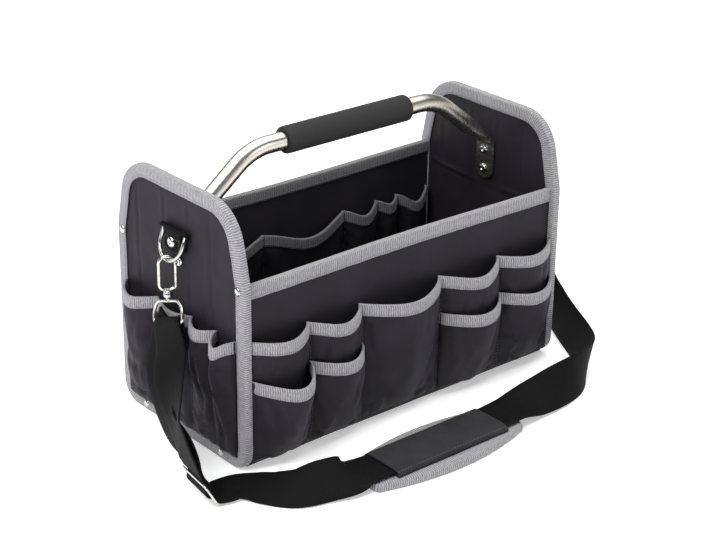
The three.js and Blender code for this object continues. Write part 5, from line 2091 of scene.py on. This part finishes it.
            dress(piece, self.finishes.chrome,
                  stands_for=[f"{name}_rivet_{k + 1}" for k in range(len(places))])
        bpy.data.objects.remove(bolt)
        bpy.data.objects.remove(rivet)

    def build(self) -> None:
        """Make the fittings of both ends."""
        for side, name, gate in ((-1, "left", Body.LEFT_GATE), (1, "right", Body.RIGHT_GATE)):
            self.tab(side, name)
            self.d_ring(side, name)
            self.hook(side, name, gate)
            self.swivel_loop(side, name)
        self.fasteners()


# Strap

@dataclass(frozen=True)
class StrapPlace:
    """A place on the strap: shares of half the length, half the width and the rim height, and
    the way its width runs."""

    x: float
    y: float
    z: float
    across: tuple[float, float, float]

    def point(self) -> np.ndarray:
        """The place in mm.

        Returns:
            The point.
        """
        return vec(self.x * BAG.length / 2, self.y * BAG.width / 2, self.z * BAG.rim_height)

    def spread(self) -> np.ndarray:
        """Unit direction of the width.

        Returns:
            The direction.
        """
        return unit(vec(*self.across))


STRAP_ROUTE = (
    StrapPlace(-1.2, -1.115, 0.016, (-0.22, -0.975, 0.03)),
    StrapPlace(-1.12, -1.13, 0.018, (-0.6, -0.8, 0)),
    StrapPlace(-1.055, -1.265, 0.027, (-0.82, -0.5, -0.14)),
    StrapPlace(-1.02, -1.41, 0.04, (-0.8, -0.5, -0.28)),
    StrapPlace(-0.945, -1.604, 0.057, (-0.44, -0.77, -0.45)),
    StrapPlace(-0.838, -1.701, 0.078, (-0.26, -0.74, -0.62)),
    StrapPlace(-0.774, -1.753, 0.086, (-0.3, -0.725, -0.616)),
    StrapPlace(-0.723, -1.777, 0.084, (-0.21, -0.84, -0.5)),
    StrapPlace(-0.654, -1.763, 0.071, (-0.08, -0.99, -0.08)),
    StrapPlace(-0.5, -1.765, 0.065, (-0.05, -1, 0)),
    StrapPlace(-0.17, -1.775, 0.0655, (0, -1, 0)),
    StrapPlace(0.16, -1.77, 0.0655, (0, -1, 0)),
    StrapPlace(0.32, -1.76, 0.067, (0, -1, -0.05)),
    StrapPlace(0.46, -1.755, 0.068, (0.03, -0.9, -0.38)),
    StrapPlace(0.64, -1.765, 0.088, (0.06, -0.68, -0.7)),
    StrapPlace(0.81, -1.745, 0.11, (0.05, -0.25, -0.95)),
    StrapPlace(0.965, -1.6, 0.113, (-0.2, 0.06, -0.96)),
    StrapPlace(1.07, -1.3, 0.107, (-0.42, 0.08, -0.9)),
    StrapPlace(1.19, -0.86, 0.108, (-0.42, 0.03, -0.9)),
    StrapPlace(1.3, -0.46, 0.118, (-0.45, -0.06, -0.88)),
    StrapPlace(1.37, -0.1, 0.17, (-0.5, -0.2, -0.84)),
    StrapPlace(1.37, 0.18, 0.27, (-0.5, -0.45, -0.72)),
    StrapPlace(1.29, 0.27, 0.4, (-0.4, -0.68, -0.52)),
    StrapPlace(1.19, 0.2, 0.53, (-0.2, -0.88, -0.3)),
)
DROP_OUTER = (
    StrapPlace(-1.145, -0.225, 0.574, (0.1, -0.9, 0.3)),
    StrapPlace(-1.2, -0.36, 0.49, (0.25, -0.82, 0.5)),
    StrapPlace(-1.255, -0.57, 0.4, (0, -0.7, 0.68)),
    StrapPlace(-1.31, -0.78, 0.31, (-0.25, -0.58, 0.77)),
    StrapPlace(-1.34, -0.96, 0.26, (-0.26, -0.8, 0.5)),
)
DROP_INNER = (
    StrapPlace(-1.095, 0.03, 0.574, (0, -0.96, 0.28)),
    StrapPlace(-1.14, -0.05, 0.468, (0.15, -0.9, 0.35)),
    StrapPlace(-1.205, -0.275, 0.351, (0, -0.75, 0.6)),
    StrapPlace(-1.265, -0.56, 0.271, (-0.2, -0.65, 0.7)),
    StrapPlace(-1.305, -0.91, 0.25, (-0.24, -0.85, 0.4)),
)


@dataclass
class Strap:
    """Shoulder strap: webbing, slider and pad."""

    finishes: Finishes
    needlework: Needlework
    fittings: Fittings
    slider_bar: float = 5.0
    slider_thickness: float = 2.4
    slider_slot: float = 6.0
    slider_play: float = 1.2
    slider_corner: float = 2.5
    slider_wire: float = 0.48
    lead_in: float = 1.6
    pad_length: float = 190.0
    pad_width: float = 76.0
    pad_thickness: float = 6.0
    pad_tape_drop: float = 12.0
    pad_x: float = -34.0
    pad_y: float = -181.05
    sleeve_width: float = 50.0
    sleeve_length: float = 140.0
    sleeve_room: float = 2.4
    sleeve_edge: float = 0.45
    sleeve_stitch_inset: float = 2.6
    steps_a_span: int = 9
    puff_steps: int = 14
    puff_most: float = 1.0

    def __post_init__(self) -> None:
        """Set up the slider's own frame."""
        middle = StrapPlace(-1.2935, -1.061, 0.077, (-0.19, -0.98, 0.07))
        self.at = middle.point()
        self.along = unit(vec(0.47, -0.15, -0.87))
        across = middle.spread()
        self.across = unit(across - self.along * float(across @ self.along))
        self.out = unit(np.cross(self.across, self.along))
        self.pitch = self.slider_bar + self.slider_slot
        self.weave = self.slider_thickness / 2 + 2 * BAG.gap + BAG.webbing_thickness / 2

    def in_slider(self, along: float, out: float) -> tuple[np.ndarray, np.ndarray]:
        """A place given in the slider's frame, with the webbing's width there.

        Args:
            along: mm along the slider.
            out: mm off its middle plane.

        Returns:
            The place and the width's direction.
        """
        return self.at + self.along * along + self.out * out, self.across

    def bar_turn(self, side: int, reverse: bool) -> list[tuple[np.ndarray, np.ndarray]]:
        """Half turn of webbing over a loop's lower bar.

        Args:
            side: which end.
            reverse: run the other way.

        Returns:
            Places with the webbing's width.
        """
        fit = self.fittings
        down = fit.loop_height - fit.loop_wire
        bar = fit.loop_point(side, 0, down)
        across = unit(fit.loop_point(side, 1, down) - bar)
        upward = unit(fit.loop_point(side, 0, 0) - bar)
        radius = fit.loop_wire + BAG.gap + BAG.webbing_thickness / 2 + 0.4
        places = []
        for share in (0, 0.25, 0.5, 0.75, 1):
            a = math.pi * share
            places.append((bar - vec(side, 0, 0) * radius * math.cos(a)
                           + upward * radius * math.sin(a), -across))
        return places[::-1] if reverse else places

    def route(self) -> list[tuple[np.ndarray, np.ndarray]]:
        """The whole strap, from its inner end at the slider to the right loop.

        Returns:
            Places in order, each with the direction of the webbing's width.
        """
        w, lead_in = self.weave, self.lead_in * self.pitch
        layer = w + BAG.webbing_thickness + 3 * BAG.gap
        places = [self.in_slider(self.slider_bar / 2, w), self.in_slider(-self.slider_bar / 2, w),
                  self.in_slider(-self.pitch, layer), self.in_slider(-lead_in, layer)]
        places += [(p.point(), p.spread()) for p in reversed(DROP_INNER)]
        places += self.bar_turn(-1, False)
        places += [(p.point(), p.spread()) for p in DROP_OUTER]
        places.append(self.in_slider(-lead_in, w))
        for bar in (-1, 0, 1):
            for edge in (-1, 1):
                places.append(self.in_slider(bar * self.pitch + edge * self.slider_bar / 2,
                                             -w if bar == 0 else w))
        places += [(p.point(), p.spread()) for p in STRAP_ROUTE]
        places += self.bar_turn(1, True)
        return places

    def webbing(self) -> None:
        """Make the webbing as one swept strap."""
        places = self.route()
        line, turns = Route([p for p, _ in places]), Route([a for _, a in places])
        count = self.steps_a_span * (len(places) - 1)
        rows = []
        for i in range(count + 1):
            t = i / count
            at, along, across = line.at(t), line.heading(t), turns.at(t)
            across = unit(across - along * float(across @ along))
            out = unit(np.cross(across, along))
            rows.append(Fittings.strap_section(at, across, out, BAG.webbing,
                                               BAG.webbing_thickness))
        strap = lattice("strap_twill", np.array(rows), wrap_ring=True, caps=True)
        dress(strap, self.finishes.webbing, stands_for=["strap_webbing"])

    def slider(self) -> None:
        """Make the three-bar slider from rods with soft corners."""
        half = BAG.webbing / 2 + BAG.gap + self.slider_play + self.slider_bar * 0.35
        reach = self.pitch
        flat = self.slider_thickness / self.slider_bar
        corner, radius = self.slider_corner, self.slider_wire * self.slider_bar
        loop = []
        for a, b, start in ((1, -1, -0.5), (1, 1, 0.0), (-1, 1, 0.5), (-1, -1, 1.0)):
            for q in np.linspace(start * math.pi, (start + 0.5) * math.pi, 6):
                loop.append(self.at + self.across * (a * (half - corner) + corner * math.cos(q))
                            + self.along * (b * (reach - corner) + corner * math.sin(q)))
        rim = rod("slider_rim", loop, self.out, radius, True, 14, flat)
        bar = rod("slider_bar", [self.at + self.across * x for x in np.linspace(-half, half, 8)],
                  self.out, radius, sides=14, flat=flat)
        slider = merge("slider_frame", [rim, bar])
        dress(slider, self.finishes.chrome, stands_for=["strap_slider"])

    def pad_half_width(self, share: float) -> float:
        """Half width of the leaf-shaped pad at a share of its half length.

        Args:
            share: from -1 to 1 along the pad.

        Returns:
            The half width in mm.
        """
        return self.pad_width / 2 * (0.56 + 0.44 * math.cos(math.pi / 2 * share) ** 0.8)

    def pad_outline(self) -> np.ndarray:
        """The pad's outline inside its tape, about its middle.

        Returns:
            Pairs of x and y in mm.
        """
        half = self.pad_length / 2 - BAG.tape_stack
        near = [(half * s, -self.pad_half_width(s) + BAG.tape_stack)
                for s in np.linspace(-0.94, 0.94, 80)]
        end = self.pad_half_width(0.94) - BAG.tape_stack
        start = 0.94 * half
        cap = []
        for a in np.linspace(-math.pi / 2, math.pi / 2, 24)[1:-1]:
            c, s = math.cos(a), math.sin(a)
            cap.append((start + (half - start) * abs(c) ** 0.5, end * math.copysign(
                abs(s) ** 0.6, s)))
        far = [(x, -y) for x, y in reversed(near)]
        back = [(-x, -y) for x, y in cap]
        return np.array(near + cap + far + back)

    def pad_cushion(self) -> None:
        """Make the pad's cushion, blown up a little by a cloth simulation."""
        loop = self.pad_outline()
        low = BAG.tape_stack
        rings = []
        shares = np.concatenate([np.linspace(0.03, 0.97, 26), [1.0]])
        for face in (1, -1):
            band = []
            for share in shares:
                z = low + self.pad_thickness / 2 + face * self.pad_thickness / 2 * (
                    1 - 0.25 * smoothstep(share, 0.9, 1.0))
                band.append([vec(self.pad_x + x * share, self.pad_y + y * share, z)
                             for x, y in loop])
            rings += band if face > 0 else band[::-1]
        pad = lattice("pad_cushion", np.array(rings), wrap_ring=True, caps=True)
        self.puff(pad)
        map_axes(pad, 0, 1)
        dress(pad, self.finishes.cloth, stands_for=["pad_base"])

    def puff(self, pad: bpy.types.Object) -> None:
        """Blow the cushion up a little, with its edge held by the tape.

        Args:
            pad: the closed cushion.
        """
        start = coordinates(pad.data)
        middle = vec(self.pad_x, self.pad_y) * MM
        held = []
        for k, p in enumerate(start):
            x = (p[0] - middle[0]) / (self.pad_length / 2 * MM)
            edge = self.pad_half_width(min(abs(x), 1.0)) * MM - abs(p[1] - middle[1])
            if abs(x) > 0.85 or edge < 13 * MM or p[2] < 3 * MM:
                held.append(k)
        pad.vertex_groups.new(name="held").add(held, 1.0, "REPLACE")
        work = pad.modifiers.new("puff", "CLOTH")
        work.settings.quality = 5
        work.settings.vertex_group_mass = "held"
        work.settings.use_pressure = True
        work.settings.uniform_pressure_force = 3.0
        work.settings.bending_stiffness = 0.4
        work.settings.effector_weights.gravity = 0.0
        work.collision_settings.use_collision = False
        run_cloth(self.puff_steps)
        settle(pad)
        shift(pad, start + capped(coordinates(pad.data) - start, self.puff_most))
        bpy.context.scene.frame_set(1)

    def pad_tape(self) -> None:
        """Bind the pad's edge."""
        loop = self.pad_outline()
        along = unit(np.roll(loop, -1, axis=0) - np.roll(loop, 1, axis=0))
        z = BAG.tape_stack + self.pad_thickness / 2
        stations = [TapeStation(vec(self.pad_x + p[0], self.pad_y + p[1], z), vec(0, 0, 1),
                                vec(-d[1], d[0], 0)) for p, d in zip(loop, along)]
        self.needlework.sew_tape(stations, self.pad_thickness,
                                 self.pad_tape_drop - POCKET_STITCH_INSET, (1,), True)
        tape = bind_edge("pad_tape", stations, self.pad_thickness, self.pad_tape_drop, True, 8.0,
                         wave=0.2)
        dress(tape, self.finishes.tape, stands_for=["pad_binding"])

    def sleeve(self) -> None:
        """Make the sleeve that the webbing runs through, with its soft creases."""
        low = BAG.tape_stack + self.pad_thickness + BAG.tape_stack + BAG.gap
        high = low + 2 * BAG.cloth + BAG.webbing_thickness + self.sleeve_room
        half, thick = self.sleeve_width / 2, BAG.cloth
        rows = []
        for x in np.linspace(-self.sleeve_length / 2, self.sleeve_length / 2, 90):
            end = smoothstep(self.sleeve_length / 2 - abs(x), 0, 4)
            outer, inner = [], []
            for a in np.linspace(0, math.pi, 31):
                c, s = math.cos(a), math.sin(a)
                y = half * math.copysign(abs(c) ** self.sleeve_edge, c)
                lift = abs(s) ** 0.5
                crease = 0.35 * waviness(x, y, 0, 16.0, 5.0) * lift * end
                outer.append(vec(self.pad_x + x, self.pad_y + y,
                                 low + (high - low - 0.5) * lift + crease))
                inner.append(vec(self.pad_x + x, self.pad_y + y * (1 - thick / half),
                                 low + thick + (high - low - 2 * thick - 0.5) * lift + crease))
            bottom = [vec(self.pad_x + x, self.pad_y + y, low)
                      for y in np.linspace(-half, half, 12)[1:-1]]
            floor = [vec(self.pad_x + x, self.pad_y + y, low + thick)
                     for y in np.linspace(half - thick, -half + thick, 12)[1:-1]]
            rows.append((outer + bottom, inner + floor[::-1]))
        outer = np.array([r[0] for r in rows])
        inner = np.array([r[1] for r in rows])
        loops = np.concatenate([outer, inner[::-1]])
        sleeve = lattice("sleeve_cloth", loops, wrap_rows=True, wrap_ring=True)
        dress(sleeve, self.finishes.sleeve, stands_for=["pad_sleeve"])
        for y in (-half + self.sleeve_stitch_inset, half - self.sleeve_stitch_inset):
            c = abs(y) / half
            lift = math.sqrt(math.sqrt(max(1 - c ** (2 / self.sleeve_edge), 0.0)))
            z = low + (high - low - 0.5) * lift + 0.1
            self.needlework.sew([vec(self.pad_x + x, self.pad_y + y, z)
                                 for x in np.linspace(-self.sleeve_length / 2 + 2,
                                                      self.sleeve_length / 2 - 2, 30)])

    def build(self) -> None:
        """Make the strap and its pad."""
        self.webbing()
        self.slider()
        self.pad_cushion()
        self.pad_tape()
        self.sleeve()


# Studio

@dataclass
class Studio:
    """Camera, lights and floor."""

    azimuth: float = math.radians(-40.37)
    elevation: float = math.radians(24.12)
    distance: float = 1810.4
    target: tuple[float, float, float] = (2.12, -18.57, 123.64)
    focal_pixels: float = 1808.64
    roll: float = math.radians(0.72)
    horizon_low: float = 0.05
    horizon_high: float = 0.3
    ceiling: str = "#6a6a6c"
    floor_glow: float = 0.4
    floor_half: float = 9000.0
    floor_low: float = -0.3
    sensor: float = 36.0

    def camera(self) -> None:
        """Place the camera where the photograph was taken from."""
        a, e = self.azimuth, self.elevation
        back = vec(math.sin(a) * math.cos(e), -math.cos(a) * math.cos(e), math.sin(e))
        right = unit(np.cross(-back, vec(0, 0, 1)))
        up = np.cross(right, -back)
        c, s = math.cos(self.roll), math.sin(self.roll)
        right, up = c * right + s * up, -s * right + c * up
        place = (vec(*self.target) + back * self.distance) * MM
        data = bpy.data.cameras.new("camera")
        data.sensor_width = self.sensor
        data.sensor_fit = "HORIZONTAL"
        data.lens = self.focal_pixels * self.sensor / PHOTO_WIDTH
        camera = bpy.data.objects.new("camera", data)
        camera.matrix_world = stance(right, up, back, place)
        bpy.context.scene.collection.objects.link(camera)
        bpy.context.scene.camera = camera

    def lamp(self, name: str, place: Sequence[float], aim: Sequence[float], size: float,
             power: float) -> None:
        """Hang a soft square lamp.

        Args:
            name: its name.
            place: metres.
            aim: the point it looks at, in metres.
            size: its side in metres.
            power: watts.
        """
        data = bpy.data.lights.new(name, "AREA")
        data.size = size
        data.energy = power
        lamp = bpy.data.objects.new(name, data)
        back = unit(vec(*place) - vec(*aim))
        right = unit(np.cross(vec(0, 1, 0) if abs(back[2]) > 0.9 else vec(0, 0, 1), back))
        up = np.cross(back, right)
        lamp.matrix_world = stance(right, up, back, place)
        bpy.context.scene.collection.objects.link(lamp)

    def floor(self) -> None:
        """Lay a plain pale floor."""
        half, low = self.floor_half, self.floor_low
        floor = new_piece("floor", np.array([vec(-half, -half, low), vec(half, -half, low),
                                             vec(half, half, low), vec(-half, half, low)]),
                          [(0, 1, 2, 3)])
        made, _, shader = begin("pale_floor")
        shader.inputs["Base Color"].default_value = linear("#f4f4f4")
        shader.inputs["Roughness"].default_value = 0.9
        shader.inputs["Emission Color"].default_value = linear("#ffffff")
        shader.inputs["Emission Strength"].default_value = self.floor_glow
        floor.data.materials.append(made)

    def build(self) -> None:
        """Set up the studio."""
        self.floor()
        world = bpy.data.worlds.new("studio")
        world.use_nodes = True
        tree = world.node_tree
        tree.nodes.clear()
        place = add(tree, "ShaderNodeTexCoord")
        split = add(tree, "ShaderNodeSeparateXYZ", links={0: place.outputs["Generated"]})
        level = add(tree, "ShaderNodeMapRange", {1: self.horizon_low, 2: self.horizon_high},
                    {0: split.outputs[2]})
        tone = blend_colours(tree, level.outputs[0], "#ffffff", self.ceiling)
        sky = add(tree, "ShaderNodeBackground", {"Strength": 1.0}, {"Color": tone})
        add(tree, "ShaderNodeOutputWorld", links={"Surface": sky.outputs[0]})
        bpy.context.scene.world = world
        self.lamp("key", (-1.5, -0.5, 1.7), (0, 0, 0.1), 1.0, 30)
        self.lamp("ceiling", (0.3, 1.0, 3.2), (0.3, 1.0, 0), 5.5, 235)
        self.lamp("front", (0.9, -2.0, 1.0), (0, 0, 0.1), 0.8, 7)
        bpy.context.scene.view_settings.view_transform = "Standard"


def main() -> None:
    """Build the tote in order and report each piece."""
    logging.basicConfig(level=logging.INFO, format="%(name)s: %(message)s")
    studio = Studio()
    studio.camera()
    finishes = Finishes()
    needlework = Needlework(finishes)
    Shell(finishes, needlework).build()
    Pockets(finishes, needlework).build()
    Handle(finishes).build()
    fittings = Fittings(finishes, needlework)
    fittings.build()
    Strap(finishes, needlework, fittings).build()
    needlework.finish()
    studio.build()


if __name__ == "__main__":
    main()
